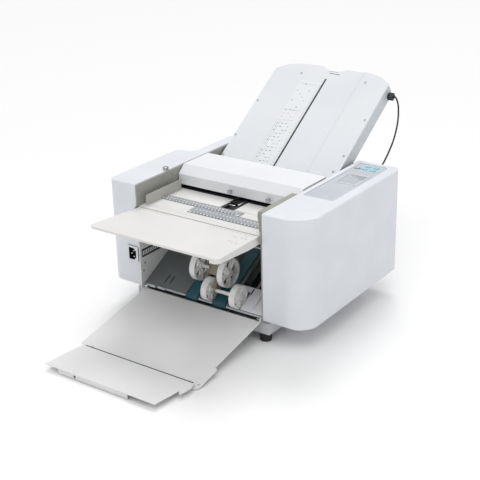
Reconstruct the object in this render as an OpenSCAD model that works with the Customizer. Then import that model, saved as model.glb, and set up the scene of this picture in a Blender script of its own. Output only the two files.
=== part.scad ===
// Desktop paper folding machine with an upper and a lower fold plate.
// X runs across the paper path, with the control panel on the +X side.
// Y runs from the feed and delivery end at the front to the upper fold plate at the rear.
// Z is up from the desk, and the model stands on z = 0.

/* [Body] */
// Clear width of the paper path between the two side frames
path_w = 330; // [324:1:340]
// Depth of the side housings, front to rear
body_d = 405; // [400:1:420]
// Height of the housing tops above the desk
body_top = 296; // [294:1:304]
// Height of the housing bottoms above the desk
body_bottom = 50; // [48:1:54]
// Width of the left housing at its front
left_w = 79; // [74:1:90]
// Width of the left housing at its slim rear part
left_rear_w = 30; // [26:1:40]
// Width of the right housing, which holds the drive and the control panel
right_w = 108; // [106:1:125]
// Wall of the plastic housings
wall = 3; // [2.4:0.2:3.6]
// Thickness of the steel side frames
frame_t = 3; // [2:0.5:4]
// Height of the rubber feet
foot_h = 20; // [16:1:24]
// Radius of the rubber feet
foot_r = 14; // [10:1:16]

/* [Feed] */
// Height of the feed table's upper face above the desk
table_z = 245; // [242:1:250]
// Length of the folding feed table
table_len = 145; // [120:1:160]
// Thickness of the table, bed and tray sheet
sheet_t = 1.6; // [1:0.2:2]
// Height of the feed table's side flanges
table_flange = 18; // [12:1:22]
// How much further the feed table's front reaches to the left than its hinge
table_flare = 21; // [6:1:24]
// Inward travel of each paper guide
guide_travel = 96; // [60:2:98]
// Height of the paper guides above the bed
guide_h = 24; // [16:1:30]
// Radius of the rubber feed roller
feed_r = 18; // [16:0.5:19]

/* [Cover] */
// Depth of the hinged top cover, front to rear
cover_d = 114; // [108:1:116]
// Height of the cover's vertical front face
cover_face = 24; // [20:1:28]
// Wall of the cover
cover_wall = 2.5; // [2:0.1:3]

/* [Fold rollers] */
// Radius of the four fold rollers
roller_r = 20; // [18:0.5:20.5]
// Teeth on each roller gear
gear_teeth = 20; // [16:1:24]
// Radius of the fold roller shafts
shaft_r = 5; // [4:0.5:6]

/* [Upper fold plate] */
// Slope of the upper fold plate above the horizontal
plate_slope = 33.7; // [32:0.1:36]
// Width of the upper fold plate
plate_w = 320; // [300:1:322]
// Length of the upper fold plate at its crowned end
plate_len = 332; // [300:1:350]
// Depth of the upper fold plate's casing
plate_h = 34; // [32:1:40]
// Travel of the fold stopper
stopper_travel = 205; // [150:1:210]

/* [Delivery] */
// Slope of the delivery belts above the horizontal
belt_slope = 28.8; // [27:0.1:30]
// Radius of the upper stacker wheels
upper_wheel_r = 34; // [28:0.5:35]
// Radius of the lower stacker wheels
lower_wheel_r = 26.5; // [22:0.5:27]
// Spacing of the two wheels and of the two belts
wheel_pitch = 75; // [72:0.5:77]
// Width of each delivery belt
delivery_belt_w = 30; // [24:1:31]
// Length of the delivery tray along its slope
tray_len = 234; // [200:1:240]
// Length of the folding tray extension
extension_len = 110; // [80:1:120]

/* [Hidden] */
$fn = 48;
// Running gap between separate pieces
gap = 0.3;
// Radial clearance of a shaft in its bearing
fit = 0.05;
// Overrun of a cutting tool past the face that it cuts
cut = 1;

// Side frames and housings
frame_x = path_w / 2;
housing_x = frame_x + frame_t + gap;
frame_top = body_top - 2;
// The chassis pan carries the frames and stands on the feet
pan_top = body_bottom - 4;
pan_bottom = foot_h;
pan_wall = 2;
pan_front = 5;
pan_rear = body_d - 10;
pan_x = frame_x + 15;
pan_rim = 18;

// Fold roller centres in the Y-Z plane, set round the main roller
roller_pitch = 2 * roller_r + 0.4;
main_y = 245;
main_z = table_z - 27;
top_angle = 115;
rear_angle = 15;
bottom_angle = -70;
function round_main(angle) = [main_y + roller_pitch * cos(angle), main_z + roller_pitch * sin(angle)];
main_c = [main_y, main_z];
top_c = round_main(top_angle);
rear_c = round_main(rear_angle);
bottom_c = round_main(bottom_angle);
roller_l = path_w - 6;
// Gears, pulleys and belt run outside the right frame
gear_x = frame_x + frame_t + 4;
gear_w = 10;
pulley_x = gear_x + gear_w + 4;
pulley_w = 12;
shaft_end = pulley_x + pulley_w + 2;
main_pulley_r = 22;
motor_pulley_r = 11;
motor_c = [main_y + 85, main_z - 92];
motor_r = 30;
motor_x = shaft_end + 2;
motor_len = right_w - wall - (motor_x - housing_x) - 6;
belt_t = 1.5;

// Feed
feed_c = [172, table_z + gap + feed_r];
feed_x = 12;
feed_roller_w = 34;
table_rear = 3;
table_axis = [-2, table_z - 4];
table_half = frame_x - 5;
table_kink = -8;
lip_h = 5;
bed_front = table_rear + 2.2;
bed_rear = top_c[0] - roller_r - 2;
bed_half = frame_x - gap;
rail_z = table_z + gap;
guide_x = frame_x - 13;
pinion_c = [0, 67];
pinion_teeth = 14;
rack_module = 1;
pinion_r = pinion_teeth * rack_module / 2;
rack_z = table_z - 11;
rack_t = 5;

// Cover
cover_front = 148;
cover_rear = cover_front + cover_d;
cover_bottom = table_z + 10;
cover_top = body_top + 1;
cover_half = frame_x - 2;
cover_axis = [cover_rear - 8, cover_top - 10];

// Upper fold plate: s runs up its slope and n is square to it
plate_y = 300;
plate_z = body_top - 24.2;
slot_x = -7;
slot_w = 4;
shelf_n = -14;
stopper_s = 60;
screw_n = -24;
screw_r = 4;
screw_len = 251;
plate_deep_s = 42;

// Delivery belts: the upper face of the belts is a plane through this point
belt_plane_y = 0;
belt_plane_z = body_bottom + 2;
function belt_z(y) = belt_plane_z + (y - belt_plane_y) * tan(belt_slope);
belt_roller_r = 9;
belt_out_r = belt_roller_r + gap + belt_t;
front_roller_y = 20;
rear_roller_y = 165;
function belt_axis(y) = [y, belt_z(y) - belt_out_r / cos(belt_slope)];
belt_x = 45;
upper_y = 48;
upper_c = [upper_y, belt_z(upper_y) + (upper_wheel_r + gap) / cos(belt_slope)];
lower_c = [20, belt_z(20) + 19];
arm_pivot = [upper_y + 57, upper_c[1] + 48];
wheel_w = 14;
axle_r = 4;
arm_t = 3;
arm_x = [-2, 28];
lower_x = 15;

// Delivery tray
tray_slope = 11.3;
tray_axis = [4, body_bottom + 2];
tray_left = -154;
tray_right = 162;
tray_t = 2;
function tray_point(u, n) = tray_axis + [
  u * cos(tray_slope) - n * sin(tray_slope),
  u * sin(tray_slope) + n * cos(tray_slope)
];
extension_axis = tray_point(1 - tray_len, 3);
extension_y = extension_axis[0];
extension_z = extension_axis[1];
pin_r = 2;
ear_x = [tray_left + 32, tray_right - 22];
ear_t = 3;

// Plug socket on the upper fold plate, and the lead's route to the rear of the right housing
plug_s = 288;
plug_n = -24;
plug_l = 14;
lead_r = 2;

// Placing: the origin is under the centre of the whole machine's box
front_y = extension_y - extension_len;
rear_y = plate_y + plate_len * cos(plate_slope) + plate_h * sin(plate_slope);
path_x = (left_w - right_w) / 2;
path_y = -(front_y + rear_y) / 2;

// Moves the paper path's own frame to the model's origin
module place() {
  translate([path_x, path_y, 0])
    children();
}

// Turns a Y-Z outline into a solid that runs along X
module along_x(x, w) {
  translate([x, 0, 0])
    rotate([90, 0, 90])
      linear_extrude(w)
        children();
}

// A round bar along X at a Y-Z point
module bar_x(c, r, x, w) {
  along_x(x, w)
    translate(c)
      circle(r);
}

// A rectangle with its own radius at each corner, from lower left and counterclockwise
module rounded_plate(w, h, r) {
  difference() {
    square([w, h]);
    for (i = [0:3])
      if (r[i] > 0)
        translate([i == 1 || i == 2 ? w : 0, i >= 2 ? h : 0])
          rotate(90 * i)
            difference() {
              translate([-cut, -cut])
                square(r[i] + cut);
              translate([r[i], r[i]])
                circle(r[i]);
            }
  }
}

// A bar with round ends between two points
module link_2d(a, b, r) {
  d = b - a;
  translate(a)
    rotate(atan2(d[1], d[0])) {
      translate([0, -r])
        square([norm(d), 2 * r]);
      circle(r);
      translate([norm(d), 0])
        circle(r);
    }
}

// The filled outline of a belt round two pulleys
module belt_outline(a, ra, b, rb) {
  d = b - a;
  lead = acos((ra - rb) / norm(d));
  translate(a)
    rotate(atan2(d[1], d[0])) {
      circle(ra);
      translate([norm(d), 0])
        circle(rb);
      polygon([
        ra * [cos(lead), sin(lead)],
        ra * [cos(lead), -sin(lead)],
        [norm(d), 0] + rb * [cos(lead), -sin(lead)],
        [norm(d), 0] + rb * [cos(lead), sin(lead)]
      ]);
    }
}

// A belt of thickness t that runs clear of its pulleys by the running gap
module belt_2d(a, ra, b, rb, t) {
  difference() {
    belt_outline(a, ra + gap + t, b, rb + gap + t);
    belt_outline(a, ra + gap, b, rb + gap);
  }
}

// A spur gear outline with straight-sided teeth and a little backlash
module gear_2d(teeth, pitch_r, start) {
  tooth = 360 / teeth;
  m = 2 * pitch_r / teeth;
  root_r = pitch_r - 1.2 * m;
  tip_r = pitch_r + 0.9 * m;
  polygon([
    for (i = [0:teeth - 1], p = [[-0.34, root_r], [-0.135, tip_r], [0.135, tip_r], [0.34, root_r]])
      p[1] * [cos(start + (i + p[0]) * tooth), sin(start + (i + p[0]) * tooth)]
  ]);
}

// A straight rack with its pitch line on y = 0, its teeth towards -Y and its back at y = back
module rack_2d(first, last, m, back) {
  pitch = PI * m;
  polygon(concat(
    [[last * pitch + pitch / 2, back], [first * pitch - pitch / 2, back]],
    [
      for (i = [first:last], p = [[-0.36, 1.2], [-0.13, -0.9], [0.13, -0.9], [0.36, 1.2]])
        [(i + p[0]) * pitch, p[1] * m]
    ]
  ));
}

// Puts a piece on the upper fold plate: X stays, Y runs up the slope, Z is square to it
module on_plate() {
  translate([0, plate_y, plate_z])
    rotate([plate_slope, 0, 0])
      children();
}

// Chassis pan with an inward rim under the side frames
module chassis() {
  color("gainsboro")
    difference() {
      translate([-pan_x, pan_front, pan_bottom])
        cube([2 * pan_x, pan_rear - pan_front, pan_top - pan_bottom]);
      translate([-pan_x + pan_wall, pan_front + pan_wall, pan_bottom + pan_wall])
        cube([2 * (pan_x - pan_wall), pan_rear - pan_front - 2 * pan_wall, pan_top - pan_bottom - 2 * pan_wall]);
      translate([-pan_x + pan_rim, pan_front + pan_wall, pan_bottom + pan_wall])
        cube([2 * (pan_x - pan_rim), pan_rear - pan_front - 2 * pan_wall, pan_top - pan_bottom]);
    }
}

// The outline that both side frames share, seen from the side
module frame_outline() {
  translate([0, pan_top])
    rounded_plate(body_d - 5, frame_top - pan_top, [3, 14, 8, 3]);
  link_2d([8, table_axis[1]], table_axis, 5);
}

// The holes that both side frames share
module frame_holes() {
  for (c = [main_c, top_c, rear_c, bottom_c])
    translate(c)
      circle(shaft_r + fit);
  for (c = [feed_c, belt_axis(front_roller_y), belt_axis(rear_roller_y)])
    translate(c)
      circle(axle_r + fit);
  for (c = [[4, frame_top - 11], [14, body_bottom + 54], [8, body_bottom + 37]])
    translate(c)
      circle(1.8);
}

vent_y = 6;
vent_z = body_bottom + 69;
vent_l = 70;
vent_h = 20;
knob_c = [-(housing_x + 5), 115];

// Left steel side frame, with its vent opening and the top lug for the lock knob
module left_frame() {
  color("silver") {
    along_x(-frame_x - frame_t, frame_t)
      difference() {
        frame_outline();
        frame_holes();
        translate([vent_y, vent_z])
          square([vent_l, vent_h]);
      }
    difference() {
      translate([-frame_x - frame_t - 12, knob_c[1] - 10, frame_top - 12])
        cube([12, 20, frame_t]);
      translate([knob_c[0], knob_c[1], frame_top - 12 - cut])
        cylinder(r = 2.5 + fit, h = frame_t + 2 * cut);
    }
  }
}

flange_w = 14;
flange_drop = 40;
flange_end = cover_front - 6;

// Right steel side frame, with an inward top flange in front of the cover
module right_frame() {
  color("darkkhaki") {
    along_x(frame_x, frame_t)
      difference() {
        frame_outline();
        frame_holes();
      }
    translate([frame_x - flange_w, 12, frame_top - frame_t / 2])
      cube([flange_w, flange_end - 12, frame_t / 2]);
    intersection() {
      translate([frame_x - flange_w, 12, frame_top])
        rotate([0, 90, 0])
          linear_extrude(flange_w)
            polygon([[0, 0], [flange_drop, -9], [flange_drop, -7.5], [1.5, 1.5], [1.5, 2], [0, 2]]);
      translate([frame_x, 20, frame_top])
        rotate([90, 0, 0])
          linear_extrude(20)
            polygon([
              [cut, cut], [-flange_w - cut, cut], [-flange_w - cut, -6],
              [-3, -flange_drop - cut], [cut, -flange_drop - cut]
            ]);
    }
  }
}

bar_z = body_top - 46;
bar_spots = [[20, table_z - 22], [body_d - 20, bar_z], [body_d - 24, body_bottom + 18], [112, body_bottom + 12]];

// Round bars that tie the two frames together, and the stacker arm's pivot bar
module tie_bars() {
  color("lightsteelblue") {
    for (c = bar_spots)
      bar_x(c, 5, -frame_x, path_w);
    bar_x(arm_pivot, axle_r, -frame_x, path_w);
  }
}

rear_panel_y = body_d - 9;
rear_panel_h = bar_z - 10 - body_bottom;
// The lower fold plate slopes down from the rollers and out through the rear panel at a set height
lower_entry = [main_y + 40, main_z - 32];
lower_exit_z = body_bottom + 36.05515;
lower_slope = -atan2(lower_entry[1] - lower_exit_z, rear_panel_y - lower_entry[0]);
lower_w = path_w - 10;
lower_h = 12;
lower_len = (rear_panel_y + 11.6 - lower_entry[0]) / cos(lower_slope);
lower_slot_h = 56;
lower_slot_z = lower_entry[1] + (rear_panel_y - lower_entry[0]) * tan(lower_slope) - lower_slot_h / 2 + 4;

// Sheet-steel rear panel between the frames, with a slot for the lower fold plate
module rear_panel() {
  color("gainsboro")
    difference() {
      translate([-frame_x, rear_panel_y, body_bottom])
        cube([path_w, sheet_t, rear_panel_h]);
      translate([-lower_w / 2 - 2, rear_panel_y - cut, lower_slot_z])
        cube([lower_w + 4, sheet_t + 2 * cut, lower_slot_h]);
      for (i = [-5:5])
        translate([i * (path_w - 130) / 10 - 5, rear_panel_y - cut, body_bottom + rear_panel_h - 80])
          cube([10, sheet_t + 2 * cut, 50]);
    }
}

step_y = 228;
step_r = 22;

// Plan of the left housing: wide at the front, then an S-curve into a slim rear part
module left_plan(i) {
  w = left_w - i;
  rear_w = left_rear_w - i;
  front = i;
  rear = body_d - i;
  step = step_y + step_r - i;
  translate([-housing_x, 0]) {
    translate([-w, front])
      rounded_plate(w, step - front, [20 - i, 0, 0, step_r - i]);
    translate([-rear_w, front])
      rounded_plate(rear_w, rear - front, [0, 0, 0, 8 - i]);
    translate([-rear_w - step_r - i, step])
      difference() {
        translate([0, -cut])
          square([step_r + i, step_r + i + cut]);
        translate([0, step_r + i])
          circle(step_r + i);
      }
  }
}

// Front view of the left housing, with its rounded lower outer edge
module left_front(i) {
  translate([-housing_x - left_w + i, body_bottom + i])
    rounded_plate(left_w - i, body_top - body_bottom - 2 * i, [28 - i, 0, 0, 5 - i]);
}

// Side view of both housings, with a rounded lower rear corner
module side_view(i) {
  translate([i, body_bottom + i])
    rounded_plate(body_d - 2 * i, body_top - body_bottom - 2 * i, [8 - i, 22 - i, 3, 3]);
}

// The left housing's outer form, drawn in by i on every face but the open inner one
module left_form(i) {
  intersection() {
    translate([0, 0, body_bottom + i])
      linear_extrude(body_top - body_bottom - 2 * i)
        left_plan(i);
    translate([0, body_d, 0])
      rotate([90, 0, 0])
        linear_extrude(body_d)
          left_front(i);
    along_x(-housing_x - left_w, left_w)
      side_view(i);
  }
}

inlet_x = -(housing_x + 17);
inlet_z = body_bottom + 78;
inlet_w = 24;
inlet_h = 31;
rocker_y = 40;
rocker_z = body_bottom + 60;
rocker_w = 13;
rocker_h = 22;
rocker_in = 6;
pivot_r = 1.5;

// Left plastic housing, open towards the left frame
module left_housing() {
  color("whitesmoke")
    difference() {
      union() {
        difference() {
          left_form(0);
          translate([cut, 0, 0])
            left_form(wall);
          left_form(wall);
        }
        for (side = [0, 1])
          translate([-housing_x - left_w + 1, rocker_y + (side > 0 ? rocker_w / 2 : -rocker_w / 2 - 3), rocker_z - 7])
            cube([11, 3, 14]);
      }
      translate([inlet_x - inlet_w / 2, -cut, inlet_z - inlet_h / 2])
        cube([inlet_w, wall + 2 * cut, inlet_h]);
      translate([knob_c[0], knob_c[1], body_top - 20])
        cylinder(r = 4, h = 30);
      translate([-housing_x - left_w + rocker_in, rocker_y, rocker_z])
        rotate([90, 0, 0])
          cylinder(r = pivot_r + fit, h = 40, center = true);
      translate([-housing_x - left_w - cut, rocker_y - rocker_w / 2, rocker_z - rocker_h / 2])
        cube([wall + 2 * cut, rocker_w, rocker_h]);
    }
}

// Plan of the right housing, with a wide front corner
module right_plan(i) {
  translate([housing_x, i])
    rounded_plate(right_w - i, body_d - 2 * i, [0, 56 - i, 22 - i, 0]);
}

// Front view of the right housing
module right_front(i) {
  translate([housing_x, body_bottom + i])
    rounded_plate(right_w - i, body_top - body_bottom - 2 * i, [0, 4 - i > 0 ? 4 - i : 0, 5 - i, 0]);
}

// The right housing's outer form, drawn in by i on every face but the open inner one
module right_form(i) {
  intersection() {
    translate([0, 0, body_bottom + i])
      linear_extrude(body_top - body_bottom - 2 * i)
        right_plan(i);
    translate([0, body_d, 0])
      rotate([90, 0, 0])
        linear_extrude(body_d)
          right_front(i);
    along_x(housing_x, right_w)
      side_view(i);
  }
}

panel_x = housing_x + 11;
panel_y = 140;
panel_w = 74;
panel_l = body_d - panel_y - 15;
panel_deep = 1.2;
panel_t = 2.2;

// Right plastic housing, open towards the right frame and under the control panel
module right_housing() {
  color("whitesmoke")
    difference() {
      right_form(0);
      right_form(wall);
      translate([-cut, 0, 0])
        right_form(wall);
      translate([panel_x, panel_y, body_top - wall - cut])
        linear_extrude(wall + 2 * cut)
          rounded_plate(panel_w, panel_l, [3, 6, 16, 3]);
    }
}

foot_spots = [
  [pan_x - 18, pan_front + 14], [-pan_x + 18, pan_front + 14],
  [pan_x - 18, pan_rear - 22], [-pan_x + 18, pan_rear - 22]
];

// Four round rubber feet, each a little wider at its top
module rubber_feet() {
  color("black")
    for (c = foot_spots)
      translate([c[0], c[1], 0])
        rotate_extrude()
          polygon([[0, 0], [foot_r - 2, 0], [foot_r - 1, 1], [foot_r, foot_h], [0, foot_h]]);
}

// Upright three-pin mains inlet with two chamfered corners and its flange
module power_inlet() {
  body_in_w = inlet_w - 2 * gap;
  body_in_h = inlet_h - 2 * gap;
  color("black") {
    difference() {
      union() {
        translate([inlet_x - body_in_w / 2, -1.5, inlet_z - body_in_h / 2])
          cube([body_in_w, 24, body_in_h]);
        translate([inlet_x, 0, inlet_z])
          rotate([90, 0, 0])
            linear_extrude(2)
              translate([-inlet_w / 2 - 4, -inlet_h / 2 - 3])
                rounded_plate(inlet_w + 8, inlet_h + 6, [4, 4, 4, 4]);
      }
      translate([inlet_x, -2 - cut, inlet_z])
        rotate([-90, 0, 0])
          linear_extrude(18)
            polygon([[-10, -13.5], [4, -13.5], [10, -7.5], [10, 7.5], [4, 13.5], [-10, 13.5]]);
    }
    for (p = [[-3, 0], [3, 7], [3, -7]])
      translate([inlet_x + p[0] - 2, -1, inlet_z + p[1] - 1])
        cube([4, 18, 2]);
  }
}

// Rocker of the mains switch, which tilts on a pivot inside the left housing's wall
module power_rocker() {
  w = rocker_w - 2 * gap;
  color("dimgray")
    translate([-housing_x - left_w, rocker_y, rocker_z])
      rotate([90, 0, 0]) {
        translate([0, 0, -w / 2])
          linear_extrude(w)
            polygon([[-2.6, 9], [-0.6, 0], [-1.2, -9], [rocker_in + 3, -5], [rocker_in + 3, 5]]);
        translate([rocker_in, 0, 0])
          cylinder(r = pivot_r, h = rocker_w + 4, center = true);
      }
}

// Louvred vent in the left frame: a dark surround with slanted fins
module side_vent() {
  w = vent_l - 2 * gap;
  h = vent_h - 2 * gap;
  color("dimgray")
    along_x(-frame_x - frame_t, frame_t)
      translate([vent_y + gap, vent_z + gap])
        difference() {
          square([w, h]);
          for (i = [0:13])
            translate([4 + i * (w - 10) / 13, 4])
              polygon([[0, 0], [2, 0], [5, h - 8], [3, h - 8]]);
        }
}

display_y = panel_l - 138;
display_l = 58;
display_w = 46;
display_x = 16;
key_size = [13, 9];
key_row_1 = panel_l - 36;
key_row_2 = panel_l - 18;
key_spots = [[30, key_row_1], [50, key_row_1], [30, key_row_2], [50, key_row_2], [12, key_row_1]];
key_travel = 1;

// Control panel plate with openings for the display and the keys
module control_panel() {
  color("lightsteelblue")
    translate([panel_x, panel_y, body_top - panel_deep - panel_t])
      difference() {
        translate([gap, gap, 0])
          linear_extrude(panel_t)
            rounded_plate(panel_w - 2 * gap, panel_l - 2 * gap, [3, 6, 16, 3]);
        translate([display_x, display_y, -cut])
          cube([display_w, display_l, panel_t + 2 * cut]);
        for (k = key_spots)
          translate([k[0] - key_size[0] / 2, k[1] - key_size[1] / 2, -cut])
            cube([key_size[0], key_size[1], panel_t + 2 * cut]);
      }
}

// Display window set into the panel, tilted up a little at its outer edge
module display_window() {
  color("slategray")
    translate([panel_x + display_x + gap, panel_y + display_y + gap, body_top - panel_deep - panel_t])
      rotate([90, 0, 90])
        linear_extrude(display_w - 2 * gap)
          polygon([[0, 0], [display_l - 2 * gap, 0], [display_l - 2 * gap, panel_t + 0.6], [0, panel_t]]);
}

board_z = body_top - panel_deep - panel_t - 10;

// Circuit board under the panel, with a switch under each key
module control_board() {
  color("seagreen") {
    translate([panel_x + 4, panel_y + display_y - 12, board_z])
      cube([panel_w - 12, panel_l - display_y - 4, 1.6]);
    for (k = key_spots)
      translate([panel_x + k[0] - 3, panel_y + k[1] - 3, board_z + 1.6])
        cube([6, 6, 3.8]);
    for (x = [8, panel_w - 14], y = [display_y - 6, panel_l - 24])
      translate([panel_x + x, panel_y + y, board_z + 1.6])
        cylinder(r = 2, h = 10 - 1.6);
  }
}

// One panel key with a cap above the panel and a stem down to its switch
module panel_key(i) {
  translate([panel_x + key_spots[i][0], panel_y + key_spots[i][1], body_top - panel_deep - panel_t]) {
    translate([-key_size[0] / 2 + gap, -key_size[1] / 2 + gap, -2])
      cube([key_size[0] - 2 * gap, key_size[1] - 2 * gap, panel_t + 3.4]);
    translate([0, 0, -10 + 1.6 + 3.8 + key_travel + gap])
      cylinder(r = 1.5, h = 3);
  }
}

module start_key() {
  color("mediumturquoise")
    panel_key(0);
}

module stop_key() {
  color("mediumturquoise")
    panel_key(1);
}

module plus_key() {
  color("cadetblue")
    panel_key(2);
}

module minus_key() {
  color("cadetblue")
    panel_key(3);
}

module reset_key() {
  color("slategray")
    panel_key(4);
}

// The cover's outline from the side, drawn in by i on every face but the open bottom
module cover_outline(i) {
  over = i > 0 ? cut : 0;
  top = cover_top - i;
  face = cover_bottom + cover_face;
  skirt = cover_top - 18 - over;
  polygon([
    [cover_front + i, cover_bottom - over],
    [cover_front + i, face - i * 0.4],
    [cover_front + 22 + i * 0.4, top],
    [cover_rear - i, top],
    [cover_rear - i, skirt],
    [cover_front + 10 + over, skirt],
    [cover_front + 10 + over, cover_bottom - over]
  ]);
}

cover_screw_x = [-15, 88];

// Hinged top cover: a bent sheet shell with end walls that turn on two pins
module top_cover() {
  color("white")
    difference() {
      along_x(-cover_half, 2 * cover_half)
        cover_outline(0);
      along_x(-cover_half + cover_wall, 2 * (cover_half - cover_wall))
        cover_outline(cover_wall);
      bar_x(cover_axis, pin_r + fit, -cover_half - cut, 2 * cover_half + 2 * cut);
      for (x = cover_screw_x)
        translate([x, cover_front - cut, cover_bottom + 9])
          rotate([-90, 0, 0])
            cylinder(r = 2 + fit, h = cover_wall + 2 * cut);
    }
}

// Two knurled screws in the cover's front face
module cover_screws() {
  color("dimgray")
    for (x = cover_screw_x)
      translate([x, cover_front - 4, cover_bottom + 9])
        rotate([-90, 0, 0]) {
          cylinder(r = 4, h = 4);
          cylinder(r = 2, h = 4 + cover_wall + 3);
        }
}

// Knurled thumb knob on a stud through the left frame's lug
module lock_knob() {
  color("lightgray")
    translate([knob_c[0], knob_c[1], frame_top - 14]) {
      cylinder(r = 2.5, h = 20);
      translate([0, 0, body_top - frame_top + 14 + gap])
        linear_extrude(6)
          gear_2d(24, 6.6, 0);
      translate([0, 0, body_top - frame_top + 14 + gap + 6])
        cylinder(r1 = 5.6, r2 = 4.6, h = 1, $fn = 32);
    }
}

// Fixed pins that the cover, the feed table and the delivery tray turn on
module hinge_pins() {
  color("silver")
    for (p = [[cover_axis, 8], [table_axis, 8], [tray_axis, frame_x + tray_left + 4]], side = [-1, 1])
      bar_x(p[0], pin_r, side < 0 ? -frame_x : frame_x - p[1], p[1]);
}

// Plan of the feed table, drawn in by i, with its left side flared towards the front
module table_plan(i) {
  front = table_rear - table_len + i;
  flare = atan2(table_flare, table_len);
  left = -table_half - table_flare + i;
  r = 12 - i;
  start = [left + r * (1 + tan(flare)), front + r];
  polygon([
    for (a = [0:15:90]) [table_half - i - r + r * sin(a), front + r - r * cos(a)],
    [table_half - i, table_rear + cut],
    [-table_half + i, table_rear + cut],
    [-table_half + i, table_kink],
    for (a = [90:-15:0]) start - r * [sin(a), cos(a)]
  ]);
}

// Folding feed table: a sheet with tapering side flanges, a front lip and rounded front corners
module feed_table() {
  front = table_rear - table_len;
  color("white")
    difference() {
      translate([0, 0, table_z - table_flange])
        linear_extrude(table_flange)
          table_plan(0);
      translate([0, 0, table_z - table_flange - cut])
        linear_extrude(table_flange + cut - sheet_t)
          table_plan(sheet_t);
      translate([-table_half - table_flare - cut, table_rear, table_z - table_flange - cut])
        cube([2 * table_half + table_flare + 2 * cut, 2 * cut, table_flange + 2 * cut]);
      along_x(-table_half - table_flare - cut, 2 * table_half + table_flare - 20)
        polygon([
          [front - cut, table_z - table_flange - cut], [table_kink - 12, table_z - table_flange - cut],
          [front + 12, table_z - lip_h], [front - cut, table_z - lip_h]
        ]);
      along_x(table_half - 22, 30)
        polygon([
          [front - cut, table_z - table_flange - cut], [table_kink - 12, table_z - table_flange - cut],
          [front + 12, table_z - 11], [front - cut, table_z - 11]
        ]);
      bar_x(table_axis, pin_r + fit, -table_half - cut, 2 * table_half + 2 * cut);
    }
}

pad_w = 38;
pad_front = 93;
pad_l = 98;
neck_w = 14;
neck_l = 6;
left_rail_y = 68;
left_rail_w = 22;
right_rail_y = 34;
right_rail_w = 32;
left_neck_y = pinion_c[1] + pinion_r + 3;
right_neck_y = pinion_c[1] - pinion_r - 3 - neck_l;

// Feed bed between the frames, with slots for the guide necks and a window for the pad
module feed_bed() {
  color("white")
    difference() {
      union() {
        translate([-bed_half, bed_front, table_z - sheet_t])
          cube([2 * bed_half, bed_rear - bed_front, sheet_t]);
        for (x = [-bed_half, bed_half - sheet_t])
          translate([x, bed_front + 6, table_z - 16])
            cube([sheet_t, bed_rear - bed_front - 26, 16]);
      }
      translate([feed_x - pad_w / 2, pad_front, table_z - sheet_t - cut])
        cube([pad_w, pad_l, sheet_t + 2 * cut]);
      translate([-guide_x - 1, left_neck_y - 1, table_z - sheet_t - cut])
        cube([guide_travel + neck_w + 4, neck_l + 2, sheet_t + 2 * cut]);
      translate([guide_x - guide_travel - neck_w - 3, right_neck_y - 1, table_z - sheet_t - cut])
        cube([guide_travel + neck_w + 4, neck_l + 2, sheet_t + 2 * cut]);
      translate([pinion_c[0], pinion_c[1], table_z - sheet_t - cut])
        cylinder(r = 2 + fit, h = sheet_t + 2 * cut);
    }
}

// Number of rack teeth that keep the pinion in mesh over the guide's travel
rack_first = -floor((guide_x - 4) / (PI * rack_module));
rack_last = 4;

// A paper guide with its scale rail on the bed, its neck through the bed and its rack below
module paper_guide(rail_y, rail_w, rail_l, neck_y, side) {
  fence_front = 16;
  fence_rear = 140;
  translate([-guide_x, rail_y, rail_z])
    cube([rail_l, rail_w, sheet_t]);
  difference() {
    translate([-guide_x, fence_front, rail_z])
      cube([sheet_t, fence_rear - fence_front, guide_h]);
    translate([-guide_x - cut, fence_front - cut, rail_z - cut])
      cube([sheet_t + 2 * cut, rail_y - fence_front + cut, sheet_t + gap + cut]);
    translate([-guide_x - cut, rail_y + rail_w, rail_z - cut])
      cube([sheet_t + 2 * cut, fence_rear - rail_y - rail_w + cut, sheet_t + gap + cut]);
  }
  translate([-guide_x + 1, neck_y, rack_z])
    cube([neck_w, neck_l, rail_z - rack_z]);
  translate([0, pinion_c[1] + side * pinion_r, rack_z])
    linear_extrude(rack_t)
      mirror([0, side > 0 ? 0 : 1])
        rack_2d(rack_first, rack_last, rack_module, 3 + neck_l);
}

// Left paper guide
module left_guide() {
  color("darkgray")
    paper_guide(left_rail_y, left_rail_w, guide_x + 62, left_neck_y, 1);
}

// Right paper guide, mirrored, with its rack on the pinion's front side
module right_guide() {
  color("darkgray")
    mirror([1, 0, 0])
      paper_guide(right_rail_y, right_rail_w, guide_x + 52, right_neck_y, -1);
}

// Pinion that ties the two guides together, hung on a stud through the bed
module guide_pinion() {
  color("ivory")
    translate([pinion_c[0], pinion_c[1], 0]) {
      translate([0, 0, rack_z])
        linear_extrude(rack_t)
          gear_2d(pinion_teeth, pinion_r, 90 + 180 / pinion_teeth);
      translate([0, 0, rack_z + rack_t])
        cylinder(r = 2, h = table_z - rack_z - rack_t - 0.2);
    }
}

// Rubber feed roller on its shaft through both frames
module feed_roller() {
  color("dimgray") {
    bar_x(feed_c, feed_r, feed_x - feed_roller_w / 2, feed_roller_w);
    for (x = [-frame_x - frame_t - 2, feed_x + feed_roller_w / 2])
      bar_x(feed_c, axle_r, x, x < 0 ? frame_x + frame_t + 2 + feed_x - feed_roller_w / 2
        : shaft_end - x);
  }
}

// Rubber separation pad in the bed's window under the feed roller
module separation_pad() {
  color("black")
    translate([feed_x - pad_w / 2 + gap, pad_front + gap, table_z - 12])
      difference() {
        cube([pad_w - 2 * gap, pad_l - 2 * gap, 12]);
        translate([8, -cut, 6])
          cube([pad_w - 16 - 2 * gap, 40, 10]);
      }
}

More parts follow.
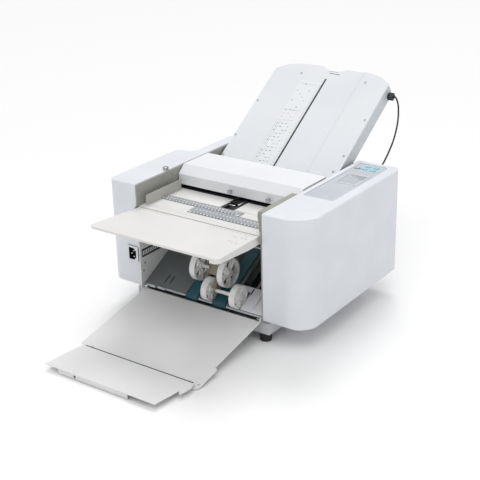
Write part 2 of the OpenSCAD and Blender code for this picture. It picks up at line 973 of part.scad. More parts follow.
// A fold roller: ground body with small end shoulders on a through shaft
module fold_roller(c, end) {
  bar_x(c, roller_r, -roller_l / 2, roller_l);
  for (x = [-roller_l / 2 - 2, roller_l / 2])
    bar_x(c, shaft_r + 3, x, 2);
  bar_x(c, shaft_r, -frame_x - frame_t - 3, frame_x + frame_t + 3 - roller_l / 2 - 2);
  bar_x(c, shaft_r, roller_l / 2 + 2, end - roller_l / 2 - 2);
}

module top_fold_roller() {
  color("slategray")
    fold_roller(top_c, gear_x + gear_w + 1);
}

module main_fold_roller() {
  color("slategray")
    fold_roller(main_c, shaft_end);
}

module rear_fold_roller() {
  color("slategray")
    fold_roller(rear_c, gear_x + gear_w + 1);
}

module bottom_fold_roller() {
  color("slategray")
    fold_roller(bottom_c, gear_x + gear_w + 1);
}

// Start angle of a gear that meshes with the main gear at the given bearing
function mesh_start(bearing) = 2 * bearing + 180 + 180 / gear_teeth;

// A roller gear with its hub, bored for the shaft
module roller_gear(c, start) {
  difference() {
    union() {
      along_x(gear_x, gear_w)
        translate(c)
          gear_2d(gear_teeth, roller_pitch / 2, start);
      bar_x(c, shaft_r + 4, gear_x - 2, gear_w + 2);
    }
    bar_x(c, shaft_r + fit, gear_x - 2 - cut, gear_w + 2 + 2 * cut);
  }
}

module main_gear() {
  color("ivory")
    roller_gear(main_c, 0);
}

module top_gear() {
  color("ivory")
    roller_gear(top_c, mesh_start(top_angle));
}

module rear_gear() {
  color("ivory")
    roller_gear(rear_c, mesh_start(rear_angle));
}

module bottom_gear() {
  color("ivory")
    roller_gear(bottom_c, mesh_start(bottom_angle));
}

// Drive motor on three stand-off legs from the right frame
module main_motor() {
  color("gray") {
    bar_x(motor_c, motor_r, motor_x, motor_len);
    bar_x(motor_c, motor_r - 6, motor_x + motor_len, 4);
    for (a = [200, 320, 80])
      bar_x(motor_c + (motor_r - 5) * [cos(a), sin(a)], 4, frame_x + frame_t, motor_x - frame_x - frame_t);
  }
}

// A flanged pulley for the drive belt
module flanged_pulley(c, r, bore) {
  difference() {
    union() {
      bar_x(c, r, pulley_x, pulley_w);
      for (x = [pulley_x, pulley_x + pulley_w - 1.2])
        bar_x(c, r + 2.5, x, 1.2);
    }
    if (bore > 0)
      bar_x(c, bore, pulley_x - cut, pulley_w + 2 * cut);
  }
}

// Motor pulley with the motor's shaft
module motor_pulley() {
  color("silver") {
    flanged_pulley(motor_c, motor_pulley_r, 0);
    bar_x(motor_c, 4, pulley_x + pulley_w, motor_x - pulley_x - pulley_w - gap);
  }
}

module main_pulley() {
  color("silver")
    flanged_pulley(main_c, main_pulley_r, shaft_r + fit);
}

// Drive belt from the motor to the main roller
module drive_belt() {
  color("black")
    along_x(pulley_x + 1.2 + gap, pulley_w - 2.4 - 2 * gap)
      belt_2d(main_c, main_pulley_r, motor_c, motor_pulley_r, belt_t);
}

// Places a flat outline on the belts' plane: X stays, Y is the run along the slope
module on_belts(n) {
  translate([0, belt_plane_y, belt_plane_z])
    rotate([belt_slope, 0, 0])
      translate([0, 0, n])
        children();
}

bed_drop = 2;
bed_low = 12;
bed_high = rear_roller_y / cos(belt_slope) + 26;
lane_x = [belt_x - wheel_pitch, belt_x];

// Sloping delivery bed, cut out for the belts, the lower wheels and the open right side
module delivery_bed() {
  color("dimgray")
    on_belts(-bed_drop - sheet_t)
      linear_extrude(sheet_t)
        difference() {
          translate([-frame_x + gap, bed_low])
            square([path_w - 2 * gap, bed_high - bed_low]);
          for (x = lane_x)
            translate([x - delivery_belt_w / 2 - 3, bed_low - cut])
              square([delivery_belt_w + 6, bed_high - bed_low - 10]);
          for (x = [lower_x, lower_x + wheel_pitch])
            translate([x - wheel_w / 2 - 2, bed_low - cut])
              square([wheel_w + 4, 48]);
          translate([belt_x + delivery_belt_w / 2 + 10, 76])
            square([frame_x - belt_x - delivery_belt_w / 2 - 22, 80]);
          for (x = [-118, -104])
            translate([x, 26])
              square([2.4, 24]);
        }
}

// The two delivery belts, each a closed loop round the two belt rollers
module delivery_belts() {
  color("teal")
    for (x = lane_x)
      along_x(x - delivery_belt_w / 2, delivery_belt_w)
        belt_2d(belt_axis(front_roller_y), belt_roller_r, belt_axis(rear_roller_y), belt_roller_r, belt_t);
}

// A belt roller: a pulley under each belt on one shaft through the frames
module belt_roller(y) {
  c = belt_axis(y);
  for (x = lane_x)
    bar_x(c, belt_roller_r, x - delivery_belt_w / 2, delivery_belt_w);
  stops = [-frame_x - frame_t, lane_x[0], lane_x[1], frame_x + frame_t];
  for (i = [0:2]) {
    from = stops[i] + (i == 0 ? 0 : delivery_belt_w / 2);
    to = stops[i + 1] - (i == 2 ? 0 : delivery_belt_w / 2);
    bar_x(c, axle_r, from, to - from);
  }
}

module front_belt_roller() {
  color("lightgray")
    belt_roller(front_roller_y);
}

module rear_belt_roller() {
  color("lightgray")
    belt_roller(rear_roller_y);
}

// Stacker arm: two bent cheeks that carry both wheel axles, joined by a spacer
module stacker_arm() {
  elbow = arm_pivot + [-30, -14];
  color("tan") {
    for (x = arm_x)
      along_x(x, arm_t)
        difference() {
          union() {
            link_2d(arm_pivot, elbow, 9);
            link_2d(elbow, upper_c, 9);
            link_2d(upper_c, lower_c, 8);
          }
          for (c = [arm_pivot, upper_c, lower_c])
            translate(c)
              circle(axle_r + fit);
        }
    bar_x(elbow, 3.5, arm_x[0] + arm_t, arm_x[1] - arm_x[0] - arm_t);
  }
}

// A stacker wheel: a wide rim, five spokes and a hub, with a ring of holes in its web
module stacker_wheel(c, r, x) {
  web_t = 3;
  difference() {
    bar_x(c, r, x - wheel_w / 2, wheel_w);
    bar_x(c, r - 3, x + web_t / 2, wheel_w);
    bar_x(c, r - 3, x - wheel_w - web_t / 2, wheel_w);
    for (i = [0:4])
      bar_x(c + r * 0.58 * [cos(72 * i + 18), sin(72 * i + 18)], r * 0.2, x - wheel_w, 2 * wheel_w);
  }
  for (side = [-1, 1])
    bar_x(c, 8, side > 0 ? x + web_t / 2 : x - wheel_w / 2, wheel_w / 2 - web_t / 2);
  for (i = [0:4])
    along_x(x - wheel_w / 2 + 1, wheel_w - 2)
      translate(c)
        rotate(72 * i + 54)
          translate([7.6, -1])
            square([r - 9.1, 2]);
}

// Two wheels on their axle
module wheel_pair(c, r, first_x) {
  for (x = [first_x, first_x + wheel_pitch])
    stacker_wheel(c, r, x);
  bar_x(c, axle_r, first_x + wheel_w / 2, wheel_pitch - wheel_w);
}

module upper_stacker_wheels() {
  color("ivory")
    wheel_pair(upper_c, upper_wheel_r, lane_x[0]);
}

// The lower pair, whose axle also reaches back to the left cheek of the arm
module lower_stacker_wheels() {
  color("ivory") {
    wheel_pair(lower_c, lower_wheel_r, lower_x);
    bar_x(lower_c, axle_r, arm_x[0] - 3, lower_x - wheel_w / 2 - arm_x[0] + 3);
  }
}

// Moves a flat piece to the delivery tray: Y runs down its slope, Z is square to it
module on_tray() {
  translate([0, tray_axis[0], tray_axis[1]])
    rotate([tray_slope, 0, 0])
      children();
}

// Outline of the tray's sheet, with a rounded tab at its front right and a notch at its front left
module tray_outline() {
  difference() {
    union() {
      translate([tray_left, -tray_len])
        rounded_plate(tray_right - tray_left, tray_len - 6, [0, 0, 3, 3]);
      translate([tray_right - 12, -tray_len - 12])
        rounded_plate(20, 74, [3, 12, 8, 0]);
    }
    translate([tray_right + 1, -tray_len + 4])
      circle(2.2);
    translate([tray_left - cut, -tray_len - cut])
      square([8, 9]);
  }
}

// Delivery tray: a sheet with side ears at its rear pins and the extension's pins at its front
module delivery_tray() {
  color("lightgray") {
    on_tray()
      translate([0, 0, -tray_t - 1])
        linear_extrude(tray_t)
          tray_outline();
    for (x = [tray_left, tray_right - 3])
      along_x(x, 3)
        translate(tray_axis)
          rotate(tray_slope)
            difference() {
              union() {
                circle(5);
                translate([-14, -tray_t - 1])
                  square([12, 4]);
              }
              circle(pin_r + fit);
            }
    for (x = ear_x) {
      along_x(x + ear_t + gap, ear_t)
        translate(tray_axis)
          rotate(tray_slope) {
            translate([1 - tray_len, 3])
              circle(3);
            translate([-1 - tray_len, -tray_t - 1])
              square([4, tray_t + 3.5]);
          }
      bar_x(extension_axis, pin_r, x - 0.5, 2 * ear_t + gap);
    }
  }
}

ext_left = tray_left + 12;
ext_right = tray_right - 12;

// Tray extension: a level sheet with a turned-down front lip, a side notch and two hinge ears
module tray_extension() {
  front = extension_y - extension_len;
  top = extension_z + 3.6;
  color("lightgray")
    difference() {
      union() {
        translate([0, 0, top - sheet_t])
          linear_extrude(sheet_t)
            polygon([
              [ext_left + 12, extension_y - 4],
              [ext_left + 4, extension_y - 20],
              [ext_left - 4, front],
              [ext_right - 6, front],
              [ext_right + 2, front + 64],
              [ext_right + 12, front + 54],
              [ext_right + 16, front + 86],
              [ext_right + 8, extension_y - 4]
            ]);
        translate([ext_left + 32, front, 1.6])
          cube([185, sheet_t, top - 1.6]);
        for (x = ear_x) {
          bar_x(extension_axis, 3.2, x, ear_t);
          translate([x, extension_y - 9, extension_z - 1])
            cube([ear_t, 9, 4]);
        }
      }
      bar_x(extension_axis, pin_r + fit, tray_left, path_w);
      translate([ext_left + 74, front - cut, 3.5])
        cube([6, sheet_t + 2 * cut, 6]);
    }
}

// Outline of the upper fold plate from above, with a crowned end and a hand recess
module plate_outline(inset, start) {
  half = plate_w / 2 - inset;
  end = plate_len - inset;
  difference() {
    polygon([
      [-half, start],
      [half, start],
      [half, end - 28],
      [half - 27, end - 10],
      [half - 56, end - 3],
      [half - 80, end],
      [-half + 80, end],
      [-half + 56, end - 3],
      [-half + 27, end - 10],
      [-half, end - 28]
    ]);
    translate([0, end + 40])
      circle(52);
  }
}

// Cross-section of the lid: flat on the left, a shallow trough right of the slot, then a ridge
module lid_section(t) {
  half = plate_w / 2;
  polygon([
    [-half, -t], [-half, 0], [2, 0], [34, -2], [62, -4], [78, -3.4], [86, 0.6], [half, 0.6],
    [half, -t], [84, -t], [78, -3.4 - t], [62, -4 - t], [34, -2 - t], [2, -t]
  ]);
}

lid_t = 2.5;

// Lid of the upper fold plate, with the stopper's slot
module upper_plate_lid() {
  color("white")
    on_plate()
      difference() {
        intersection() {
          rotate([90, 0, 0])
            translate([0, 0, -plate_len])
              linear_extrude(plate_len)
                lid_section(lid_t);
          translate([0, 0, -20])
            linear_extrude(40)
              plate_outline(0, 0);
        }
        translate([slot_x - slot_w / 2, 9, -20])
          cube([slot_w, 284, 40]);
      }
}

// Casing of the upper fold plate: an open tray with the paper shelf across it
module upper_plate_base() {
  color("lightsteelblue")
    on_plate()
      difference() {
        union() {
          difference() {
            translate([0, 0, -plate_h])
              linear_extrude(plate_h - lid_t - 6)
                plate_outline(0, plate_deep_s);
            translate([0, 0, -plate_h + lid_t])
              linear_extrude(plate_h)
                plate_outline(lid_t, plate_deep_s + lid_t);
          }
          translate([0, 0, shelf_n])
            linear_extrude(sheet_t)
              plate_outline(lid_t - 0.5, 6);
          for (x = [-plate_w / 2, plate_w / 2 - lid_t])
            translate([x, plate_deep_s, -lid_t - 6])
              cube([lid_t, plate_len - 30 - plate_deep_s, 6]);
          for (x = [-frame_x + fit, plate_w / 2 - 3], c = [[10, shelf_n], [48, -28]])
            translate([x, c[0], c[1] - 1])
              cube([frame_x - fit - plate_w / 2 + 3, 8, 4]);
        }
        translate([slot_x, plate_deep_s - cut, screw_n])
          rotate([-90, 0, 0])
            cylinder(r = screw_r + fit, h = lid_t + 2 * cut);
        translate([slot_x - 5, plate_deep_s + 8, shelf_n - cut])
          cube([10, stopper_travel + 60, sheet_t + 2 * cut]);
        translate([plate_w / 2 - lid_t - cut, plug_s - 6, plug_n - 5])
          cube([lid_t + 2 * cut, 12, 10]);
      }
}

// Fold stopper: a bar across the paper channel with a pointer in the slot and a nut below
module fold_stopper() {
  color("dimgray")
    on_plate()
      difference() {
        union() {
          translate([-plate_w / 2 + 12, stopper_s, shelf_n + sheet_t + gap])
            cube([plate_w - 24, 8, 2.4]);
          translate([slot_x - 1.5, stopper_s + 1, shelf_n + sheet_t + gap])
            cube([3, 6, -shelf_n - sheet_t - gap - 0.6]);
          translate([slot_x - 4, stopper_s, screw_n])
            cube([8, 8, shelf_n - screw_n + sheet_t + gap + 1]);
          translate([slot_x - 6.5, stopper_s, screw_n - 6])
            cube([13, 8, 6 + shelf_n - screw_n - gap]);
        }
        translate([slot_x, stopper_s - cut, screw_n])
          rotate([-90, 0, 0])
            cylinder(r = screw_r + fit, h = 8 + 2 * cut);
      }
}

// Lead screw that moves the stopper, drawn without its thread
module plate_lead_screw() {
  color("silver")
    on_plate()
      translate([slot_x, plate_deep_s - 2, screw_n])
        rotate([-90, 0, 0])
          cylinder(r = screw_r, h = screw_len);
}

// Flat gear motor at the upper end of the lead screw
module stopper_motor() {
  color("gray")
    on_plate()
      translate([slot_x - 9, plate_deep_s - 2 + screw_len + gap, -plate_h + lid_t])
        cube([18, 24, plate_h - lid_t + shelf_n]);
}

// Point of the paper path's frame at slope coordinates s and n of the upper fold plate
function plate_point(x, s, n) = [
  x,
  plate_y + s * cos(plate_slope) - n * sin(plate_slope),
  plate_z + s * sin(plate_slope) + n * cos(plate_slope)
];

// Route of the lead from the plug down to the grommet at the rear of the right housing
lead_start = plate_point(plate_w / 2 + gap + plug_l, plug_s, plug_n);
lead_end = [210, body_d + 2, 270];
lead_knots = [
  lead_start, lead_start + [5, 0, 0], [188, 549, 398], [193, 543, 381], [198, 532, 363], [203, 515, 344],
  [208, 492, 325], [211, 467, 307], [212, 442, 289], [211, 424, 277], lead_end + [0, 5, 0], lead_end
];
lead_sides = 8;
lead_steps = 3;

// Unit vector of v
function unit(v) = v / norm(v);

// Point at fraction t of the smooth curve from knot b to knot c
function curve(a, b, c, d, t) =
  b + t * (c - a) / 2 + t * t * (2 * a - 5 * b + 4 * c - d) / 2 + t * t * t * (3 * b - a - 3 * c + d) / 2;

last_knot = len(lead_knots) - 1;

// Ring centres of the lead: straight at both ends and smooth between
lead_points = concat(
  [lead_start],
  [
    for (i = [1:last_knot - 2], k = [0:lead_steps - 1])
      curve(lead_knots[i - 1], lead_knots[i], lead_knots[i + 1], lead_knots[i + 2], k / lead_steps)
  ],
  [lead_knots[last_knot - 1], lead_end]
);

// Direction of the route at point i
function lead_dir(i) = i == 0 ? [1, 0, 0]
  : i == len(lead_points) - 1 ? [0, -1, 0]
  : unit(lead_points[i + 1] - lead_points[i - 1]);

// Points of one ring of the tube at point i
function lead_ring(i) =
  let (d = lead_dir(i), a = unit(cross(d, [0, 0.3, 1])), b = cross(d, a))
  [
    for (k = [0:lead_sides - 1])
      lead_points[i] + lead_r * (a * cos(k * 360 / lead_sides) + b * sin(k * 360 / lead_sides))
  ];

// Lead from the upper fold plate to the machine's rear
module plate_cable() {
  n = len(lead_points);
  color("black")
    polyhedron(
      points = [for (i = [0:n - 1]) each lead_ring(i)],
      faces = concat(
        [[for (k = [0:lead_sides - 1]) k]],
        [
          for (i = [0:n - 2], k = [0:lead_sides - 1])
            let (a = i * lead_sides + k, b = i * lead_sides + (k + 1) % lead_sides)
            each [[a, a + lead_sides, b], [b, a + lead_sides, b + lead_sides]]
        ],
        [[for (k = [lead_sides - 1:-1:0]) (n - 1) * lead_sides + k]]
      )
    );
}

// Plug on the plate's right side with the grommet at the housing's rear
module cable_plug() {
  color("black") {
    on_plate()
      translate([plate_w / 2 + gap, plug_s - 7, plug_n - 6])
        cube([plug_l, 14, 12]);
    translate([lead_end[0], body_d, lead_end[2]])
      rotate([-90, 0, 0])
        cylinder(r = 5, h = lead_end[1] - body_d);
  }
}

// Moves a piece to the lower fold plate: Y runs down its slope, Z is square to it
module on_lower() {
  translate([0, lower_entry[0], lower_entry[1]])
    rotate([lower_slope, 0, 0])
      children();
}

// Lower fold plate: two sheets with side rails and a closed end
module lower_fold_plate() {
  color("silver")
    on_lower()
      difference() {
        union() {
          translate([-lower_w / 2, 0, -lower_h / 2])
            cube([lower_w, lower_len, lower_h]);
          for (y = [12, lower_len - 45])
            translate([-frame_x + fit, y, -4])
              cube([path_w - 2 * fit, 16, 8]);
        }
        translate([-lower_w / 2 + 6, -cut, -lower_h / 2 + 1.6])
          cube([lower_w - 12, lower_len + 2 * cut, lower_h - 3.2]);
        translate([-4, 20, 0])
          cube([8, lower_len - 40, lower_h]);
      }
}

// Stopper of the lower fold plate, with its clamp tab through the upper sheet
module lower_stopper() {
  color("dimgray")
    on_lower() {
      translate([-lower_w / 2 + 6 + gap, 60, -lower_h / 2 + 1.6 + gap])
        cube([lower_w - 12 - 2 * gap, 6, lower_h - 3.2 - 2 * gap]);
      translate([-3, 60, 0])
        cube([6, 6, lower_h / 2 + 5]);
    }
}

place() chassis();
place() left_frame();
place() right_frame();
place() tie_bars();
place() rear_panel();
place() left_housing();
place() right_housing();
place() rubber_feet();
place() power_inlet();
place() power_rocker();
place() side_vent();
place() control_panel();
place() display_window();
place() control_board();
place() start_key();
place() stop_key();
place() reset_key();
place() plus_key();
place() minus_key();
place() top_cover();
place() cover_screws();
place() lock_knob();
place() hinge_pins();
place() feed_table();
place() feed_bed();
place() left_guide();
place() right_guide();
place() guide_pinion();
place() feed_roller();
place() separation_pad();
place() top_fold_roller();
place() main_fold_roller();
place() rear_fold_roller();
place() bottom_fold_roller();
place() top_gear();
place() main_gear();
place() rear_gear();
place() bottom_gear();
place() main_motor();
place() motor_pulley();
place() main_pulley();
place() drive_belt();
place() delivery_bed();
place() delivery_belts();
place() front_belt_roller();
place() rear_belt_roller();
place() stacker_arm();
place() upper_stacker_wheels();
place() lower_stacker_wheels();
place() delivery_tray();
place() tray_extension();
place() upper_plate_lid();
place() upper_plate_base();
place() fold_stopper();
place() plate_lead_screw();
place() stopper_motor();
place() plate_cable();
place() cable_plug();
place() lower_fold_plate();
place() lower_stopper();
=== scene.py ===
"""Looks of a desktop paper folding machine: finishes, small fittings, lead, floor, lamps and camera."""

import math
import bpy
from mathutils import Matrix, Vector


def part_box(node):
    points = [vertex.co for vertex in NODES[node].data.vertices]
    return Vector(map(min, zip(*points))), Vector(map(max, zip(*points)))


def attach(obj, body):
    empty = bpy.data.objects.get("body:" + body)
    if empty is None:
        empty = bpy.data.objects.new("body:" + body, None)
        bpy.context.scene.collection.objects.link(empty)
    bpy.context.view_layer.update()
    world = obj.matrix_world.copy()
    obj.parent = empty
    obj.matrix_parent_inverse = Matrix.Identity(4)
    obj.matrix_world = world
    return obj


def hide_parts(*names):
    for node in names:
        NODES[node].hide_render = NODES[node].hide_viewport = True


bl_info = {
    "name": "Paper Folding Machine",
    "version": (1, 0, 0),
    "blender": (4, 5, 0),
    "location": "View3D > Sidebar > Folder",
    "description": "Finishes and small fittings for a desktop paper folding machine",
    "category": "Object",
}

import bmesh
import bpy
from mathutils import Matrix, Vector

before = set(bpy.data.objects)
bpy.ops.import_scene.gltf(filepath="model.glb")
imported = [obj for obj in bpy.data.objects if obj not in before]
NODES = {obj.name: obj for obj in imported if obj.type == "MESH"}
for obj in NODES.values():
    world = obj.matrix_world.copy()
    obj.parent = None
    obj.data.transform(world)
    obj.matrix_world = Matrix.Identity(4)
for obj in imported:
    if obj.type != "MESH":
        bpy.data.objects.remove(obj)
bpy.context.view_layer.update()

# The paper path's own frame, in which sizes are given in millimetres:
# x = 0 in the middle between the side frames, y = 0 at the housings' fronts, z = 0 on the desk.
# The left frame's inner face and rear edge, both in that frame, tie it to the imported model.
HALF_PATH = 165
FRAME_REAR = 400
FRAME_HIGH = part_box("left_frame")[1]
PATH_X = FRAME_HIGH.x * 1000 + HALF_PATH
PATH_Y = FRAME_HIGH.y * 1000 - FRAME_REAR

# Slopes of the upper fold plate and of the delivery belts, and where each plane starts
PLATE_SLOPE = math.radians(33.7)
PLATE_FOOT_Y, PLATE_FOOT_Z = 300, 271.8
BELT_SLOPE = math.radians(28.8)
BELT_FOOT_Z = 52

# Heights of the faces that small fittings lie on
TABLE_TOP = 245
RAIL_TOP = 246.9
PANEL_TOP = 294.8

# The camera as fitted to the photograph: its angles in radians, its place in the path's frame
AZIMUTH, ELEVATION, ROLL = 0.62266, 0.39730, -0.023420
CAMERA_PLACE = (1310.53, -1668.04, 1088.60)
SENSOR_WIDTH = 36

# Each lamp's name, share of the lamps' strength, angular width in degrees and direction
LAMPS = (
    ("front_lamp", 0.56, 50, (0.16, -0.35, 0.92)),
    ("back_lamp", 0.58, 24, (-0.27, 0.48, 0.83)),
)

# Knots of the lead's route in mm, the same as in the part's source
LEAD_START = (174.3, 552.919, 411.627)
LEAD_END = (210, 407, 270)
LEAD_KNOTS = [
    LEAD_START, (LEAD_START[0] + 5, LEAD_START[1], LEAD_START[2]), (188, 549, 398), (193, 543, 381),
    (198, 532, 363), (203, 515, 344), (208, 492, 325), (211, 467, 307), (212, 442, 289), (211, 424, 277),
    (LEAD_END[0], LEAD_END[1] + 5, LEAD_END[2]), LEAD_END,
]
LEAD_RADIUS = 0.002


def mm(x, y, z):
    """A point of the paper path's frame in metres."""
    return Vector(((x + PATH_X) / 1000, (y + PATH_Y) / 1000, z / 1000))


def on_plate(x, s, n):
    """A point on the upper fold plate: s mm up its slope and n mm above its face."""
    return mm(
        x,
        PLATE_FOOT_Y + s * math.cos(PLATE_SLOPE) - n * math.sin(PLATE_SLOPE),
        PLATE_FOOT_Z + s * math.sin(PLATE_SLOPE) + n * math.cos(PLATE_SLOPE),
    )


def on_belts(x, s, n):
    """A point on the plane of the delivery belts: s mm up its slope and n mm above it."""
    return mm(
        x,
        s * math.cos(BELT_SLOPE) - n * math.sin(BELT_SLOPE),
        BELT_FOOT_Z + s * math.sin(BELT_SLOPE) + n * math.cos(BELT_SLOPE),
    )


# ---------------------------------------------------------------- mesh helpers


def shade(mesh, angle):
    """Smooth shading with sharp edges where faces meet at more than the angle in degrees."""
    bm = bmesh.new()
    bm.from_mesh(mesh)
    for face in bm.faces:
        face.smooth = True
    for edge in bm.edges:
        edge.smooth = not (len(edge.link_faces) == 2 and edge.calc_face_angle(0) > math.radians(angle))
    bm.to_mesh(mesh)
    bm.free()


def finished(bm, name, materials, body, smooth=35):
    """Makes the finished piece from a bmesh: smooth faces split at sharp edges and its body."""
    bmesh.ops.recalc_face_normals(bm, faces=bm.faces)
    mesh = bpy.data.meshes.new(name)
    bm.to_mesh(mesh)
    bm.free()
    for material in materials:
        mesh.materials.append(material)
    piece = bpy.data.objects.new(name, mesh)
    bpy.context.scene.collection.objects.link(piece)
    shade(mesh, smooth)
    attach(piece, body)
    return piece


def faces_of(verts):
    """The faces that a shape's vertices carry."""
    return list({face for v in verts for face in v.link_faces})


def new_verts(made):
    """The vertices among what an extrusion has made."""
    return [item for item in made if isinstance(item, bmesh.types.BMVert)]


def new_faces(made):
    """The faces among what an extrusion or a fill has made."""
    return [item for item in made if isinstance(item, bmesh.types.BMFace)]


def block(bm, low, high, slot=0, place=mm, bevel=0.0):
    """A box between two corners given in mm, placed by a function, with rounded edges if asked."""
    verts = bmesh.ops.create_cube(bm, size=1)["verts"]
    for v in verts:
        x, y, z = (low[i] + (v.co[i] + 0.5) * (high[i] - low[i]) for i in range(3))
        v.co = place(x, y, z)
    faces = faces_of(verts)
    for face in faces:
        face.material_index = slot
    if bevel:
        edges = list({edge for face in faces for edge in face.edges})
        bmesh.ops.bevel(
            bm, geom=edges, offset=bevel / 1000, offset_type="OFFSET", segments=2,
            profile=0.5, affect="EDGES", material=-1, clamp_overlap=True,
        )


def turned(bm, profile, origin, axis, slot=0, steps=20):
    """A turned form: (distance along the axis, radius) pairs in mm, spun round the axis at the origin."""
    axis = axis.normalized()
    side = axis.orthogonal().normalized()
    verts = [bm.verts.new(origin + axis * (d / 1000) + side * (r / 1000)) for d, r in profile]
    edges = [bm.edges.new(pair) for pair in zip(verts, verts[1:])]
    before = set(bm.faces)
    bmesh.ops.spin(
        bm, geom=verts + edges, cent=origin, axis=axis, angle=math.tau, steps=steps, use_merge=True,
        use_duplicate=False,
    )
    bmesh.ops.remove_doubles(bm, verts=bm.verts, dist=1e-7)
    for face in set(bm.faces) - before:
        if face.is_valid:
            face.material_index = slot


def knurled(bm, origin, axis, radius, length, ribs):
    """A knurled head: a ribbed disc, extruded along the axis, with a softened rim."""
    rib_depth, rim_width, rim_rise = 0.45, 0.6, 0.3
    axis = axis.normalized()
    side = axis.orthogonal().normalized()
    other = axis.cross(side)
    verts = []
    for k in range(2 * ribs):
        turn = math.tau * k / (2 * ribs)
        reach = radius - rib_depth * (k % 2)
        verts.append(bm.verts.new(origin + (side * math.cos(turn) + other * math.sin(turn)) * reach / 1000))
    base = bm.faces.new(verts)
    made = bmesh.ops.extrude_face_region(bm, geom=[base])["geom"]
    bmesh.ops.translate(bm, verts=new_verts(made), vec=axis * length / 1000)
    bmesh.ops.inset_region(bm, faces=new_faces(made), thickness=rim_width / 1000, depth=rim_rise / 1000)


def screw(bm, centre, normal, radius):
    """A pan-head screw with a cross recess, its head standing on a face: slot 0 is steel, 1 the recess's
    painted shade.
    """
    # The head's outline and its cross, as shares of the radius
    outline = ((0, 1), (0.25, 1), (0.5, 0.8), (0.62, 0.45), (0.65, 0))
    arm_length, arm_width, arm_depth, arm_foot = 1.05, 0.24, 0.1, 0.58
    turned(bm, [(height * radius, reach * radius) for height, reach in outline], centre, normal, 0, 16)
    side = normal.orthogonal().normalized()
    other = normal.cross(side)
    # The cross recess is drawn as two thin bars standing just proud of the head: painted shade for the hollow
    for a, b in ((side, other), (other, side)):
        verts = bmesh.ops.create_cube(bm, size=1)["verts"]
        for v in verts:
            up = (v.co.z + 0.5) * arm_depth + arm_foot
            v.co = centre + (a * v.co.x * arm_length + b * v.co.y * arm_width + normal * up) * radius / 1000
        for face in faces_of(verts):
            face.material_index = 1


# ---------------------------------------------------------------- material helpers


def linear(colour):
    """Linear RGBA from an sRGB hex colour."""
    parts = [int(colour[i : i + 2], 16) / 255 for i in (1, 3, 5)]
    return [c / 12.92 if c <= 0.04045 else ((c + 0.055) / 1.055) ** 2.4 for c in parts] + [1.0]


def feed(tree, node, inputs):
    """Gives a node's inputs their values, or links them to other nodes' outputs."""
    for name, value in inputs.items():
        if isinstance(value, bpy.types.NodeSocket):
            tree.links.new(value, node.inputs[name])
        else:
            node.inputs[name].default_value = value


def add(tree, kind, inputs=None, stops=(), **settings):
    """Adds a node with its settings, its inputs and, on a ramp, its (position, hex colour) stops."""
    node = tree.nodes.new(kind)
    for name, value in settings.items():
        setattr(node, name, value)
    feed(tree, node, inputs or {})
    for k, (position, colour) in enumerate(stops):
        node.color_ramp.elements[k].position = position
        node.color_ramp.elements[k].color = linear(colour)
    return node


def blank(name):
    """A new node material with its tree, its shader and its object coordinates."""
    material = bpy.data.materials.new(name)
    material.use_nodes = True
    tree = material.node_tree
    place = add(tree, "ShaderNodeTexCoord").outputs["Object"]
    return material, tree, tree.nodes["Principled BSDF"], place


def grained(tree, shader, grain, low_rough, high_rough, strength, depth):
    """Lets a grain pattern vary the roughness between two values and raise a relief, its depth in mm."""
    rough = add(tree, "ShaderNodeMapRange", {"Value": grain, "To Min": low_rough, "To Max": high_rough})
    relief = add(tree, "ShaderNodeBump", {"Height": grain, "Strength": strength, "Distance": depth / 1000})
    feed(tree, shader, {"Roughness": rough.outputs["Result"], "Normal": relief.outputs["Normal"]})


def moulded(name, pale, dark, rough):
    """Injection-moulded ABS or nylon.

    To the eye: one even colour with hardly seen flow marks, and a dull highlight, broken up by the
    fine grain that spark erosion leaves in the mould.
    """
    material, tree, shader, place = blank(name)
    # Flow marks about 90 mm long
    flow = add(tree, "ShaderNodeTexNoise", {"Vector": place, "Scale": 11, "Detail": 3})
    colour = add(tree, "ShaderNodeValToRGB", {"Fac": flow.outputs["Fac"]}, ((0.35, dark), (0.65, pale)))
    feed(tree, shader, {"Base Color": colour.outputs["Color"], "IOR": 1.5})
    # The real grain is about 0.15 mm, drawn as 0.9 mm so that it shows
    grain = add(tree, "ShaderNodeTexNoise", {"Vector": place, "Scale": 1000 / 0.9, "Detail": 2})
    grained(tree, shader, grain.outputs["Fac"], rough - 0.05, rough + 0.06, 0.12, 0.05)
    return material


def powder_coated(name, pale, dark, rough):
    """Powder-coated steel sheet.

    To the eye: satin paint with a faint orange-peel skin, and a soft shift in tone over each panel.
    """
    material, tree, shader, place = blank(name)
    # Tone shifts over about 140 mm
    cloud = add(tree, "ShaderNodeTexNoise", {"Vector": place, "Scale": 7, "Detail": 2})
    colour = add(tree, "ShaderNodeValToRGB", {"Fac": cloud.outputs["Fac"]}, ((0.3, dark), (0.7, pale)))
    feed(tree, shader, {"Base Color": colour.outputs["Color"], "IOR": 1.5})
    # Orange peel about 0.8 mm across, drawn at 1.6 mm so that it shows
    peel = add(tree, "ShaderNodeTexNoise", {"Vector": place, "Scale": 1000 / 1.6, "Detail": 1})
    grained(tree, shader, peel.outputs["Fac"], rough - 0.04, rough + 0.05, 0.1, 0.06)
    return material


